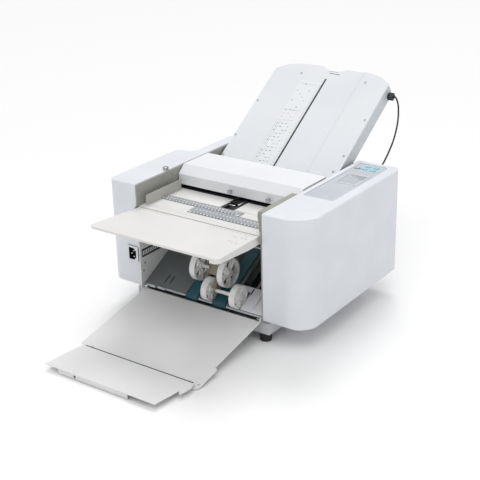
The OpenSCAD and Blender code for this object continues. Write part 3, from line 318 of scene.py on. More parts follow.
def two_toned(name, lower, upper, height, blend):
    """Steel sheet in two finishes, each a (dark, pale) pair, that meet at a height, both in mm.

    To the eye: satin paint that changes tone along a level line, with the same faint orange peel. On the
    guides the two tones are two real finishes; on the left frame the near-white lower tone is painted light
    on a wall that lies in shade.
    """
    material, tree, shader, place = blank(name)
    level = add(tree, "ShaderNodeSeparateXYZ", {"Vector": place})
    above = add(tree, "ShaderNodeMapRange", {
        "Value": level.outputs["Z"], "From Min": (height - blend) / 1000, "From Max": (height + blend) / 1000,
    })
    # Tone shifts over about 110 mm
    cloud = add(tree, "ShaderNodeTexNoise", {"Vector": place, "Scale": 9, "Detail": 2}).outputs["Fac"]
    below_tone = add(tree, "ShaderNodeValToRGB", {"Fac": cloud}, tuple(zip((0.3, 0.7), lower)))
    above_tone = add(tree, "ShaderNodeValToRGB", {"Fac": cloud}, tuple(zip((0.3, 0.7), upper)))
    tone = add(tree, "ShaderNodeMix", {
        "Factor": above.outputs["Result"],
        "A": below_tone.outputs["Color"],
        "B": above_tone.outputs["Color"],
    }, data_type="RGBA")
    feed(tree, shader, {"Base Color": tone.outputs["Result"]})
    # Orange peel about 0.8 mm across, drawn at about twice that
    peel = add(tree, "ShaderNodeTexNoise", {"Vector": place, "Scale": 600, "Detail": 1})
    grained(tree, shader, peel.outputs["Fac"], 0.34, 0.46, 0.1, 0.05)
    return material


def worked_metal(name, pale, dark, rough, lines_per_metre):
    """Bare drawn, turned or plated metal.

    To the eye: a grey mirror blurred along one axis by the fine lines that the working leaves.
    """
    material, tree, shader, place = blank(name)
    lines = add(tree, "ShaderNodeMapping", {"Vector": place, "Scale": lines_per_metre})
    noise = add(tree, "ShaderNodeTexNoise", {"Vector": lines.outputs["Vector"], "Scale": 1.0, "Detail": 3})
    grain = noise.outputs["Fac"]
    colour = add(tree, "ShaderNodeValToRGB", {"Fac": grain}, ((0.3, dark), (0.7, pale)))
    feed(tree, shader, {"Base Color": colour.outputs["Color"], "Metallic": 1.0})
    grained(tree, shader, grain, rough - 0.08, rough + 0.08, 0.15, 0.03)
    return material


def rubber(name, pale, dark, rough):
    """Moulded or ground rubber.

    To the eye: near-matt and dark, with a bloom of paler dust in its pores.
    """
    material, tree, shader, place = blank(name)
    # The real pores are about 0.3 mm wide, drawn as 1.1 mm so that they show
    noise = add(tree, "ShaderNodeTexNoise", {"Vector": place, "Scale": 1000 / 1.1, "Detail": 4})
    pores = noise.outputs["Fac"]
    # Dust lies in patches about 40 mm across
    bloom = add(tree, "ShaderNodeTexNoise", {"Vector": place, "Scale": 25, "Detail": 2}).outputs["Fac"]
    dust_and_sheen = add(tree, "ShaderNodeMath", {0: pores, 1: bloom}, operation="MULTIPLY")
    colour = add(tree, "ShaderNodeValToRGB", {"Fac": dust_and_sheen.outputs["Value"]}, ((0.12, dark), (0.42, pale)))
    feed(tree, shader, {"Base Color": colour.outputs["Color"]})
    grained(tree, shader, pores, rough - 0.06, rough + 0.08, 0.3, 0.1)
    return material


def woven_belt(name):
    """Conveyor belting: a teal rubber cover over woven cords.

    To the eye: a dull teal with a fine woven relief, paler grey-teal towards the rear, a painted sheen where
    the upper run catches the light.
    """
    material, tree, shader, place = blank(name)
    # Cords about 1.6 mm wide, one every 3.2 mm
    weave = {"Vector": place, "Scale": 98, "Distortion": 0.4}
    across = add(tree, "ShaderNodeTexWave", weave, bands_direction="X").outputs["Fac"]
    along = add(tree, "ShaderNodeTexWave", weave, bands_direction="Z").outputs["Fac"]
    cords = add(tree, "ShaderNodeMath", {0: across, 1: along}, operation="MULTIPLY").outputs["Value"]
    # Worn patches about 30 mm across
    wear = add(tree, "ShaderNodeTexNoise", {"Vector": place, "Scale": 30, "Detail": 3}).outputs["Fac"]
    worn = add(tree, "ShaderNodeMath", {0: cords, 1: wear}, operation="MULTIPLY").outputs["Value"]
    teal = add(tree, "ShaderNodeValToRGB", {"Fac": worn}, ((0.0, "#22535F"), (0.5, "#2F6C79")))
    # A painted sheen of paler grey-teal grows over 120 mm of depth towards the rear
    sheen_start, sheen_end = (mm(0, y, 0).y for y in (40, 160))
    depth = add(tree, "ShaderNodeSeparateXYZ", {"Vector": place})
    painted_sheen = add(tree, "ShaderNodeMapRange", {
        "Value": depth.outputs["Y"], "From Min": sheen_start, "From Max": sheen_end, "To Max": 0.85,
    })
    dust_and_sheen = add(tree, "ShaderNodeMix", {
        "Factor": painted_sheen.outputs["Result"], "A": teal.outputs["Color"], "B": linear("#76A2AE"),
    }, data_type="RGBA")
    relief = add(tree, "ShaderNodeBump", {"Height": cords, "Strength": 0.2, "Distance": 0.00008})
    feed(tree, shader, {
        "Base Color": dust_and_sheen.outputs["Result"],
        "Normal": relief.outputs["Normal"],
        "Roughness": 0.42,
    })
    return material


def printed(name, colour, rough=0.5):
    """Screen-printed ink or film.

    To the eye: a flat colour with sharp edges, slightly paler at pinholes.
    """
    material, tree, shader, place = blank(name)
    # Pinholes are under 0.2 mm, drawn as about 1 mm
    holes = add(tree, "ShaderNodeTexNoise", {"Vector": place, "Scale": 900, "Detail": 1}).outputs["Fac"]
    share = add(tree, "ShaderNodeMapRange", {"Value": holes, "To Min": 0.0, "To Max": 0.15})
    paler = add(tree, "ShaderNodeMix", {
        "Factor": share.outputs["Result"], "A": linear(colour), "B": linear("#C8CACC"),
    }, data_type="RGBA")
    feed(tree, shader, {"Base Color": paler.outputs["Result"], "Roughness": rough})
    return material


def circuit_board(name):
    """Solder-masked board.

    To the eye: glossy green lacquer, paler over the copper tracks that run every 2.5 mm.
    """
    material, tree, shader, place = blank(name)
    tracks = add(tree, "ShaderNodeTexBrick", {
        "Vector": place, "Scale": 1, "Mortar Size": 0.0004, "Brick Width": 0.0075, "Row Height": 0.0025,
        "Color1": linear("#1E5B3C"), "Color2": linear("#246745"), "Mortar": linear("#3F8A5C"),
    }, offset=0.5)
    feed(tree, shader, {"Base Color": tracks.outputs["Color"], "Roughness": 0.3})
    return material


def display_glass(name):
    """The display's clear, hard-coated window with its liquid-crystal layer.

    To the eye: a smooth grey pane with sharp reflections and faint rows of cells, 3.5 by 6 mm.
    """
    material, tree, shader, place = blank(name)
    cells = add(tree, "ShaderNodeTexBrick", {
        "Vector": place, "Scale": 1, "Mortar Size": 0.0003, "Brick Width": 0.0035, "Row Height": 0.006,
        "Color1": linear("#A6ABB0"), "Color2": linear("#A3A8AD"), "Mortar": linear("#ABB0B5"),
    }, offset=0.0)
    feed(tree, shader, {
        "Base Color": cells.outputs["Color"], "Roughness": 0.12, "Coat Weight": 0.6, "Coat Roughness": 0.03,
    })
    return material


def wheel_plastic(name):
    """Wheels moulded in unfilled nylon.

    To the eye: milky white with soft edges, because light spreads inside, and faint cloudy patches.
    """
    material, tree, shader, place = blank(name)
    # Cloudy patches about 8 mm across
    cloud = add(tree, "ShaderNodeTexNoise", {"Vector": place, "Scale": 120, "Detail": 3}).outputs["Fac"]
    colour = add(tree, "ShaderNodeValToRGB", {"Fac": cloud}, ((0.35, "#F4F4F2"), (0.6, "#FFFFFE")))
    relief = add(tree, "ShaderNodeBump", {"Height": cloud, "Strength": 0.1, "Distance": 0.0001})
    # Light spreads about 4 mm inside the nylon
    feed(tree, shader, {
        "Base Color": colour.outputs["Color"],
        "Normal": relief.outputs["Normal"],
        "Roughness": 0.38,
        "Subsurface Weight": 0.3,
        "Subsurface Radius": (1.0, 1.0, 0.95),
        "Subsurface Scale": 0.004,
        "IOR": 1.53,
    })
    return material


def backdrop_paper(name):
    """Seamless background paper.

    To the eye: plain near-white, a little shiny; its 0.3 mm fibres are drawn as 2.5 mm and hardly show.
    """
    material, tree, shader, place = blank(name)
    fibre = add(tree, "ShaderNodeTexNoise", {"Vector": place, "Scale": 400, "Detail": 2}).outputs["Fac"]
    colour = add(tree, "ShaderNodeValToRGB", {"Fac": fibre}, ((0.3, "#FCFCFC"), (0.7, "#FFFFFF")))
    feed(tree, shader, {"Base Color": colour.outputs["Color"], "Roughness": 0.35})
    return material


# ---------------------------------------------------------------- settings and finishes


class FolderSettings(bpy.types.PropertyGroup):
    """Sizes and colours that a user would change."""

    housing_hex: bpy.props.StringProperty(
        name="Housing", description="Colour of the housings", default="#E9ECF1"
    )
    tray_hex: bpy.props.StringProperty(
        name="Tray", description="Colour of the delivery tray and its extension", default="#E6E7E6"
    )
    key_hex: bpy.props.StringProperty(
        name="Keys", description="Colour of the panel's blue keys", default="#86C7DA"
    )
    # The seam is a black strip, painted shadow of the gap at the hinge
    seam: bpy.props.FloatProperty(
        name="Seam", description="Width of the dark seam at the tray extension's hinge", default=0.0026,
        unit="LENGTH",
    )
    lens: bpy.props.FloatProperty(
        name="Lens", description="Focal length on a 36 mm sensor", default=80.264, min=20,
        subtype="DISTANCE_CAMERA",
    )
    lamp: bpy.props.FloatProperty(
        name="Lamps", description="Strength of the two broad lamps together", default=1.62, min=0
    )
    sky: bpy.props.FloatProperty(
        name="Sky", description="Strength of the even light all round", default=0.56, min=0
    )


# Finishes by a short name, filled in by the first operator
MADE = {}

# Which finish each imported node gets
NODE_FINISHES = {
    "housing": ("left_housing", "right_housing"),
    "pan": ("chassis", "rear_panel"),
    "frame": ("left_frame",),
    "olive": ("right_frame",),
    "steel": ("tie_bars", "hinge_pins", "plate_lead_screw", "cover_screws", "lower_fold_plate"),
    "foot": ("rubber_feet", "separation_pad"),
    "black": ("power_inlet", "power_rocker", "cable_plug", "plate_cable"),
    "grille": ("side_vent",),
    "panel": ("control_panel",),
    "display": ("display_window",),
    "board": ("control_board",),
    "key": ("start_key", "stop_key", "plus_key", "minus_key"),
    "key_grey": ("reset_key",),
    "cover": ("top_cover",),
    "chrome": ("lock_knob",),
    "table": ("feed_table", "feed_bed"),
    "fenced": ("left_guide", "right_guide"),
    "nylon": ("guide_pinion", "top_gear", "main_gear", "rear_gear", "bottom_gear"),
    "wheel": ("upper_stacker_wheels", "lower_stacker_wheels"),
    "feed": ("feed_roller",),
    "roller": ("top_fold_roller", "main_fold_roller", "rear_fold_roller", "bottom_fold_roller"),
    "motor": ("main_motor", "stopper_motor", "fold_stopper", "lower_stopper"),
    "turned": ("motor_pulley", "main_pulley", "front_belt_roller", "rear_belt_roller"),
    "drive": ("drive_belt",),
    "bed": ("delivery_bed",),
    "belt": ("delivery_belts",),
    "arm": ("stacker_arm",),
    "tray": ("delivery_tray", "tray_extension"),
    "plate": ("upper_plate_lid",),
    "casing": ("upper_plate_base",),
}


class FOLDER_OT_finishes(bpy.types.Operator):
    """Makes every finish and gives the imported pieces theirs"""

    bl_idname = "folder.finishes"
    bl_label = "Finishes"

    def execute(self, context):
        opts = context.scene.folder
        m = MADE
        # Moulded plastics: even colours with dull highlights
        m["housing"] = moulded("moulded_abs_white", opts.housing_hex, "#E3E6EC", 0.36)
        m["panel"] = moulded("panel_film_grey", "#C6CBD1", "#C0C5CB", 0.42)
        m["black"] = moulded("black_nylon", "#232427", "#17181A", 0.45)
        m["nylon"] = moulded("natural_nylon", "#EEEBE3", "#E2DED2", 0.42)
        m["key"] = moulded("key_membrane_blue", opts.key_hex, "#7ABDD2", 0.38)
        m["key_field"] = moulded("key_field_pale_blue", "#B9D4DB", "#B2CFD7", 0.42)
        m["key_grey"] = moulded("key_membrane_grey", "#9AA0A8", "#90969E", 0.38)
        m["grille"] = moulded("grille_black", "#3A3C3F", "#2A2C2E", 0.5)
        m["wheel"] = wheel_plastic("translucent_wheel_white")
        # Painted steel sheet: satin whites and greys, each a little different from its neighbour
        m["table"] = powder_coated("table_paint_warm_white", "#E8E7E5", "#E2E1DF", 0.42)
        m["tray"] = powder_coated("tray_paint_grey_white", opts.tray_hex, "#DEDFDE", 0.38)
        m["plate"] = powder_coated("plate_paint_white", "#ECEEF2", "#E6E9ED", 0.40)
        m["casing"] = powder_coated("casing_paint_grey", "#D5DADF", "#CDD2D8", 0.42)
        m["cover"] = powder_coated("cover_paint_white", "#EFF1F4", "#EAECEF", 0.42)
        m["pan"] = powder_coated("pan_paint_white", "#CFD1D3", "#C7C9CB", 0.42)
        # Near-white as painted light: the exit plate lies in deep shade under the table, and this lifts it to
        # a light grey-lavender
        m["exit"] = powder_coated("exit_paint_painted_light", "#EFEFF6", "#E4E4EC", 0.4)
        # Darker paints: olive, beige, grey and near-black, duller inside the machine
        m["olive"] = powder_coated("flange_paint_olive", "#A2A399", "#93948A", 0.45)
        m["arm"] = powder_coated("arm_paint_beige", "#A8A291", "#969080", 0.42)
        m["bed"] = powder_coated("bed_paint_dark", "#787C7D", "#696D6E", 0.5)
        m["motor"] = powder_coated("motor_paint_black", "#3C3E41", "#303235", 0.5)
        # Blue-black as painted shade for the dark open chute behind the bed
        m["chute"] = powder_coated("chute_painted_shade", "#171D26", "#10151C", 0.5)
        # The left frame is near-white inside the delivery opening and grey from the table upwards: the
        # near-white is painted light on a wall that lies in shade
        m["frame"] = two_toned("frame_paint_grey_with_painted_light", ("#E6E8E8", "#F0F1F1"), ("#9C9C96", "#A8A8A2"), 236, 6)
        # Rails of grey painted steel that carry fences of satin stainless steel above the bed
        m["fenced"] = two_toned(
            "guide_rail_paint_and_steel_fence", ("#999DA2", "#A6AAAF"), ("#B1B0AA", "#C1C0BA"), 247.5, 0.1
        )
        # Bare metals: drawn along the path's width, turned round it, or plated and evenly bright
        m["steel"] = worked_metal("drawn_steel", "#C9CACC", "#A9AAAD", 0.32, (60, 900, 900))
        m["turned"] = worked_metal("turned_aluminium", "#D2D3D5", "#BDBEC0", 0.35, (900, 60, 60))
        m["chrome"] = worked_metal("nickel_plated_brass", "#D8D8D6", "#C4C4C0", 0.16, (300, 300, 300))
        # Rubbers: black to dark grey and near-matt, the fold rollers a little shinier from grinding
        m["foot"] = rubber("foot_rubber", "#2B2B2D", "#161617", 0.7)
        m["feed"] = rubber("feed_rubber", "#3C3D40", "#232426", 0.75)
        m["roller"] = rubber("roller_rubber", "#4A4D51", "#34373A", 0.5)
        m["drive"] = rubber("drive_belt_rubber", "#29292B", "#161617", 0.6)
        m["belt"] = woven_belt("belting_teal")
        # Electronics: a lacquered board and a glossy display
        m["board"] = circuit_board("circuit_board_green")
        m["display"] = display_glass("display_window_grey")
        # Prints and films: flat, thin colours
        m["ink"] = printed("ink_black", "#3C4046")
        m["ink_grey"] = printed("ink_grey", "#8D8B86")
        m["ink_pale"] = printed("ink_white", "#F2F3F4")
        m["ink_blue"] = printed("ink_blue", "#7C8FC4")
        m["ink_orange"] = printed("ink_orange", "#E0A088")
        m["ink_green"] = printed("ink_green", "#8DBFA0")
        m["chart"] = printed("chart_film", "#F1F4F6", 0.35)
        # Grey for the screws' cross recesses and a hand-recess edge: painted shade of hollows
        m["recess"] = printed("recess_painted_shade", "#85888B")
        for finish, names in NODE_FINISHES.items():
            for name in names:
                slots = NODES[name].data.materials
                slots.clear()
                slots.append(m[finish])
        return {"FINISHED"}


# ---------------------------------------------------------------- stage


class FOLDER_OT_stage(bpy.types.Operator):
    """Makes the camera at the fitted angle, the even light, the two lamps and the pale floor"""

    bl_idname = "folder.stage"
    bl_label = "Camera, lamps and floor"

    def execute(self, context):
        scene = context.scene
        scene.camera = self.camera(scene)
        scene.world = self.even_light(scene.folder.sky)
        for name, share, width, towards in LAMPS:
            lamp = bpy.data.lights.new(name, "SUN")
            lamp.energy = scene.folder.lamp * share
            lamp.angle = math.radians(width)
            holder = bpy.data.objects.new(name, lamp)
            scene.collection.objects.link(holder)
            holder.rotation_euler = Vector(towards).to_track_quat("Z", "Y").to_euler()
        self.floor(scene)
        scene.view_settings.view_transform = "Standard"
        return {"FINISHED"}

    def camera(self, scene):
        """The camera: turned by azimuth and elevation, then rolled about its line of sight."""
        forward = Vector(
            (
                -math.sin(AZIMUTH) * math.cos(ELEVATION),
                math.cos(AZIMUTH) * math.cos(ELEVATION),
                -math.sin(ELEVATION),
            )
        )
        level = Vector((math.cos(AZIMUTH), math.sin(AZIMUTH), 0))
        up = level.cross(forward)
        right = level * math.cos(ROLL) + up * math.sin(ROLL)
        top = up * math.cos(ROLL) - level * math.sin(ROLL)
        data = bpy.data.cameras.new("camera")
        data.lens = scene.folder.lens
        data.sensor_width = SENSOR_WIDTH
        data.clip_start, data.clip_end = 0.05, 60
        camera = bpy.data.objects.new("camera", data)
        scene.collection.objects.link(camera)
        turn = Matrix((right, top, -forward)).transposed().to_4x4()
        camera.matrix_world = Matrix.Translation(mm(*CAMERA_PLACE)) @ turn
        return camera

    def even_light(self, strength):
        """A white world: at full white where it is seen, at the given strength where it lights."""
        world = bpy.data.worlds.new("studio")
        world.use_nodes = True
        tree = world.node_tree
        tree.nodes.clear()
        rays = add(tree, "ShaderNodeLightPath").outputs
        seen = add(
            tree, "ShaderNodeMath", {0: rays["Is Camera Ray"], 1: rays["Is Transmission Ray"]},
            operation="MAXIMUM",
        )
        soft = add(tree, "ShaderNodeBackground", {"Color": (1, 1, 1, 1), "Strength": strength})
        white = add(tree, "ShaderNodeBackground", {"Color": (1, 1, 1, 1), "Strength": 1.0})
        mix = add(tree, "ShaderNodeMixShader", {
            "Fac": seen.outputs["Value"], 1: soft.outputs[0], 2: white.outputs[0],
        })
        add(tree, "ShaderNodeOutputWorld", {"Surface": mix.outputs[0]})
        return world

    def floor(self, scene):
        """A sheet of paper 24 m square, set just below the feet so that the faces don't meet."""
        bm = bmesh.new()
        bmesh.ops.create_grid(bm, x_segments=1, y_segments=1, size=12.0)
        bmesh.ops.translate(bm, verts=bm.verts, vec=(0, 0, -0.0004))
        mesh = bpy.data.meshes.new("floor")
        bm.to_mesh(mesh)
        bm.free()
        mesh.materials.append(backdrop_paper("floor_paper_white"))
        floor = bpy.data.objects.new("floor", mesh)
        scene.collection.objects.link(floor)
        return floor


# ---------------------------------------------------------------- pieces


def lead_route(steps):
    """Points of the lead's smooth centreline in metres, straight at both ends."""
    knots = [Vector(k) for k in LEAD_KNOTS]
    points = [knots[0]]
    for i in range(1, len(knots) - 2):
        a, b, c, d = knots[i - 1 : i + 3]
        for k in range(steps):
            t = k / steps
            straight = b + t * (c - a) / 2
            bend = t * t * (2 * a - 5 * b + 4 * c - d) / 2
            easing = t**3 * (3 * b - a - 3 * c + d) / 2
            points.append(straight + bend + easing)
    return [mm(*p) for p in points + knots[-2:]]


class FOLDER_OT_lead(bpy.types.Operator):
    """Makes the lead that runs from the upper fold plate to the machine's rear"""

    bl_idname = "folder.lead"
    bl_label = "Lead"

    def execute(self, context):
        route = lead_route(6)
        sides = 12
        bm = bmesh.new()
        rings = []
        for i, point in enumerate(route):
            ahead = route[min(i + 1, len(route) - 1)] - route[max(i - 1, 0)]
            # Square to the plug at one end and to the rear wall at the other
            if i == 0:
                ahead = Vector((1, 0, 0))
            if i == len(route) - 1:
                ahead = Vector((0, -1, 0))
            ahead.normalize()
            side = ahead.cross(Vector((0, 0.3, 1))).normalized()
            other = ahead.cross(side)
            turns = [math.tau * k / sides for k in range(sides)]
            rings.append([
                bm.verts.new(point + LEAD_RADIUS * (side * math.cos(a) + other * math.sin(a))) for a in turns
            ])
        edges = [[bm.edges.new((ring[k], ring[(k + 1) % sides])) for k in range(sides)] for ring in rings]
        for one, two in zip(edges, edges[1:]):
            bmesh.ops.bridge_loops(bm, edges=one + two)
        bm.faces.new(rings[0])
        bm.faces.new(rings[-1])
        lead = finished(bm, "plate_lead", [MADE["black"]], "machine", 60)
        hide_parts("plate_cable")
        return {"FINISHED"}


class FOLDER_OT_scale_chart(bpy.types.Operator):
    """Makes the stopper's scale chart on the upper fold plate: film, ticks and plain marks"""

    bl_idname = "folder.scale_chart"
    bl_label = "Scale chart"

    def execute(self, context):
        finishes = ("chart", "ink", "ink_blue", "ink_orange", "ink_green", "ink_grey")
        film, black, blue, orange, green, grey = range(len(finishes))
        # The film lies on the plate's face, and thin and thick prints lie on the film
        film_low, film_top, thin_top, print_top = 0.02, 0.12, 0.16, 0.2
        bm = bmesh.new()
        block(bm, (-71, 10, film_low), (-12, 279, film_top), film, on_plate)
        # A millimetre scale along the slot, ticked every 5 mm and longer every 10 and 50 mm
        for k in range(52):
            s = 14 + 5 * k
            long = 7 if k % 10 == 0 else 4.5 if k % 2 == 0 else 2.5
            block(bm, (-13 - long, s, film_top), (-13, s + 0.55, print_top), grey, on_plate)
        # Plain marks for the common sheet sizes in four columns, with gaps, and fewer of them near the top
        for k in range(24):
            s = 17 + 10.8 * k
            for column, (x, width) in enumerate(((-66, 5), (-54, 7), (-43, 6), (-33, 4))):
                if (k * 7 + column * 5) % 4 == 0 or (s > 185 and (k + column) % 3):
                    continue
                odd = green if (k + column) % 7 == 0 else black
                ink = orange if 138 < s < 172 else blue if 172 < s < 186 else odd
                low = (x, s + column, film_top)
                high = (x + width - k % 3, s + column + 1.3, print_top)
                block(bm, low, high, ink, on_plate)
        # Fine lines down the chart's left side, and two rules across
        for x in (-70, -64.5, -59):
            block(bm, (x, 12, film_top), (x + 0.5, 150, thin_top), grey, on_plate)
        for s in (182, 268):
            block(bm, (-68, s, film_top), (-20, s + 0.5, thin_top), grey, on_plate)
        finished(bm, "scale_chart", [MADE[name] for name in finishes], "machine")
        return {"FINISHED"}


def on_trough(x, s, n):
    """A point on the lid's shallow trough, which falls 1 in 16 to the right of x = 2."""
    return on_plate(x, s, n - max(0, x - 2) / 16)


class FOLDER_OT_slot_shade(bpy.types.Operator):
    """Makes painted shade: black strips under the stopper's slot and along its sides, and dark lines at the
    edges of the hand recess
    """

    bl_idname = "folder.slot_liner"
    bl_label = "Slot shade"

    def execute(self, context):
        # Black strips on the shelf under the slot: painted shade that makes the slot look black
        shelf, shade_thickness = -12.36, 0.2
        bm = bmesh.new()
        for left, right in ((-16, -11.6), (-2.4, 6)):
            block(bm, (left, 48, shelf), (right, 290, shelf + shade_thickness), 0, on_plate)
        finished(bm, "slot_painted_shade", [MADE["black"]], "machine")
        # Black strips along both sides of the slot: painted shade that makes the slot look wider
        bm = bmesh.new()
        for left, right in ((-9.4, -9.02), (-4.98, -4.6)):
            block(bm, (left, 9.4, 0.02), (right, 293, 0.3), 0, on_plate)
        # Dark lines at the edges of the hand recess below the crown's notch, painted shade, bent where the
        # trough starts
        bend = 2
        for left, right, start, end, slot in ((-7, 22, 311.4, 312.8, 0), (-11, 15, 318.4, 319.2, 1)):
            block(bm, (left, start, 0.02), (bend, end, 0.2), slot, on_trough)
            block(bm, (bend, start, 0.02), (right, end, 0.2), slot, on_trough)
        finished(bm, "slot_and_recess_shade", [MADE["black"], MADE["recess"]], "machine")
        return {"FINISHED"}


class FOLDER_OT_screws(bpy.types.Operator):
    """Makes the pan-head screws on the fold plate and the side frames, and the cover's thumbscrew heads"""

    bl_idname = "folder.screws"
    bl_label = "Screws"

    def execute(self, context):
        normal = on_plate(0, 0, 1) - on_plate(0, 0, 0)
        normal.normalize()
        bm = bmesh.new()
        for x, s in ((-81, 300), (-154, 194), (-156, 80), (-156, 16)):
            screw(bm, on_plate(x, s, 0.02), normal, 3.2)
        for x, s in ((100, 299), (152, 187), (150, 76), (146, 28)):
            screw(bm, on_plate(x, s, 0.62), normal, 3.2)
        finished(bm, "plate_screws", [MADE["casing"], MADE["recess"]], "machine")
        # Screws on the frames' inner faces: three alike on both, then three smaller on the left
        face = HALF_PATH - 0.05
        inwards = Vector((1, 0, 0))
        bm = bmesh.new()
        for y, z in ((4, 283), (14, 104), (8, 87)):
            screw(bm, mm(-face, y, z), inwards, 3)
            screw(bm, mm(face, y, z), -inwards, 3)
        for y, z in ((60, 270), (128, 284), (90, 225)):
            screw(bm, mm(-face, y, z), inwards, 2.6)
        finished(bm, "frame_screws", [MADE["steel"], MADE["recess"]], "machine")
        # Knurled heads in front of the cover, each with a plain boss
        forwards = Vector((0, -1, 0))
        bm = bmesh.new()
        for x in (-15, 88):
            knurled(bm, mm(x, 143.9, 264), forwards, 5.2, 4.5, 18)
            turned(bm, [(0, 3.2), (4.2, 3.2), (4.2, 0)], mm(x, 147.9, 264), forwards)
        finished(bm, "cover_thumbscrews", [MADE["steel"]], "cover", 30)
        return {"FINISHED"}


class FOLDER_OT_table_scale(bpy.types.Operator):
    """Makes the paper-width scale printed along the feed table's seam"""

    bl_idname = "folder.table_scale"
    bl_label = "Table scale"

    def execute(self, context):
        low, high = TABLE_TOP + 0.01, TABLE_TOP + 0.06
        bm = bmesh.new()
        # Ticks every 5 mm, longer every 10 and 50 mm, with none in the middle
        for k in range(61):
            x = -150 + 5 * k
            if -65 < x < 40:
                continue
            long = 7 if k % 10 == 0 else 5 if k % 2 == 0 else 3
            block(bm, (x - 0.5, -3 - long, low), (x + 0.5, -3, high))
        block(bm, (-157, 0.4, low), (157, 2.6, high))
        # Small plain marks near the table's right end
        for x, y in (
            (114, -27), (121, -29), (135, -25), (145, -27), (119, -50), (127, -52), (140, -55), (138, -16),
        ):
            block(bm, (x, y, low), (x + 4, y + 1.6, high))
        finished(bm, "table_scale", [MADE["ink_grey"]], "table")
        return {"FINISHED"}


class FOLDER_OT_feed_fittings(bpy.types.Operator):
    """Makes the bed's support plates, black plates of painted shade in the feed gap, the rails' scales and
    the separation pad's bracket
    """

    bl_idname = "folder.feed_fittings"
    bl_label = "Feed fittings"

    def execute(self, context):
        seat = TABLE_TOP + 0.02
        bm = bmesh.new()
        block(bm, (-140, 94, seat), (-9, 124, 245.9), 0, mm, 0.3)
        block(bm, (33, 96, seat), (130, 128, 245.9), 0, mm, 0.3)
        block(bm, (-150, 18, seat), (150, 31, 245.5), 0, mm, 0.2)
        finished(bm, "bed_plates", [MADE["table"]], "machine")
        # Black plates under the cover: painted shade that makes the feed gap look black
        bm = bmesh.new()
        for left, right in ((-163.5, -9), (33, 163.5)):
            block(bm, (left, 148, seat), (right, 192, 246.1), 0, mm, 0.3)
        finished(bm, "feed_gap_shade", [MADE["grille"]], "machine")
        self.rail_scale("left_rail_scale", "left_guide_body", 1, 68, 214, 22)
        self.rail_scale("right_rail_scale", "right_guide_body", -1, 34, 204, 32)
        # Two cheeks and a cross bar round the pad
        low = TABLE_TOP + 0.1
        bm = bmesh.new()
        for x in (-4, 24):
            block(bm, (x, 118, low), (x + 3, 150, 249), 0, mm, 0.4)
        block(bm, (4, 112, low), (20, 116, 248), 0, mm, 0.5)
        finished(bm, "pad_bracket", [MADE["steel"]], "machine")
        return {"FINISHED"}

    def rail_scale(self, name, body, inwards, y, length, depth):
        """A guide rail's scale: dark dashes every 9 mm on a white band, with pale marks behind them."""
        low, mid, top = RAIL_TOP + 0.02, RAIL_TOP + 0.06, RAIL_TOP + 0.1
        start = -152 * inwards
        left, right = sorted((start + inwards * 4, start + inwards * length))
        mark_y = y + depth * 0.55
        bm = bmesh.new()
        block(bm, (left, y + 0.3, low), (right, y + 3.7, mid), 1)
        for k in range(int(length / 9) - 1):
            x = start + inwards * (8 + 9 * k)
            left, right = sorted((x, x + inwards * 5.2))
            block(bm, (left, y + 0.3, mid), (right, y + 3.4, top), 0)
            block(bm, (left + 0.8, mark_y, low), (left + 4, mark_y + 3, top), 1)
        finished(bm, name, [MADE["ink"], MADE["ink_pale"]], body)


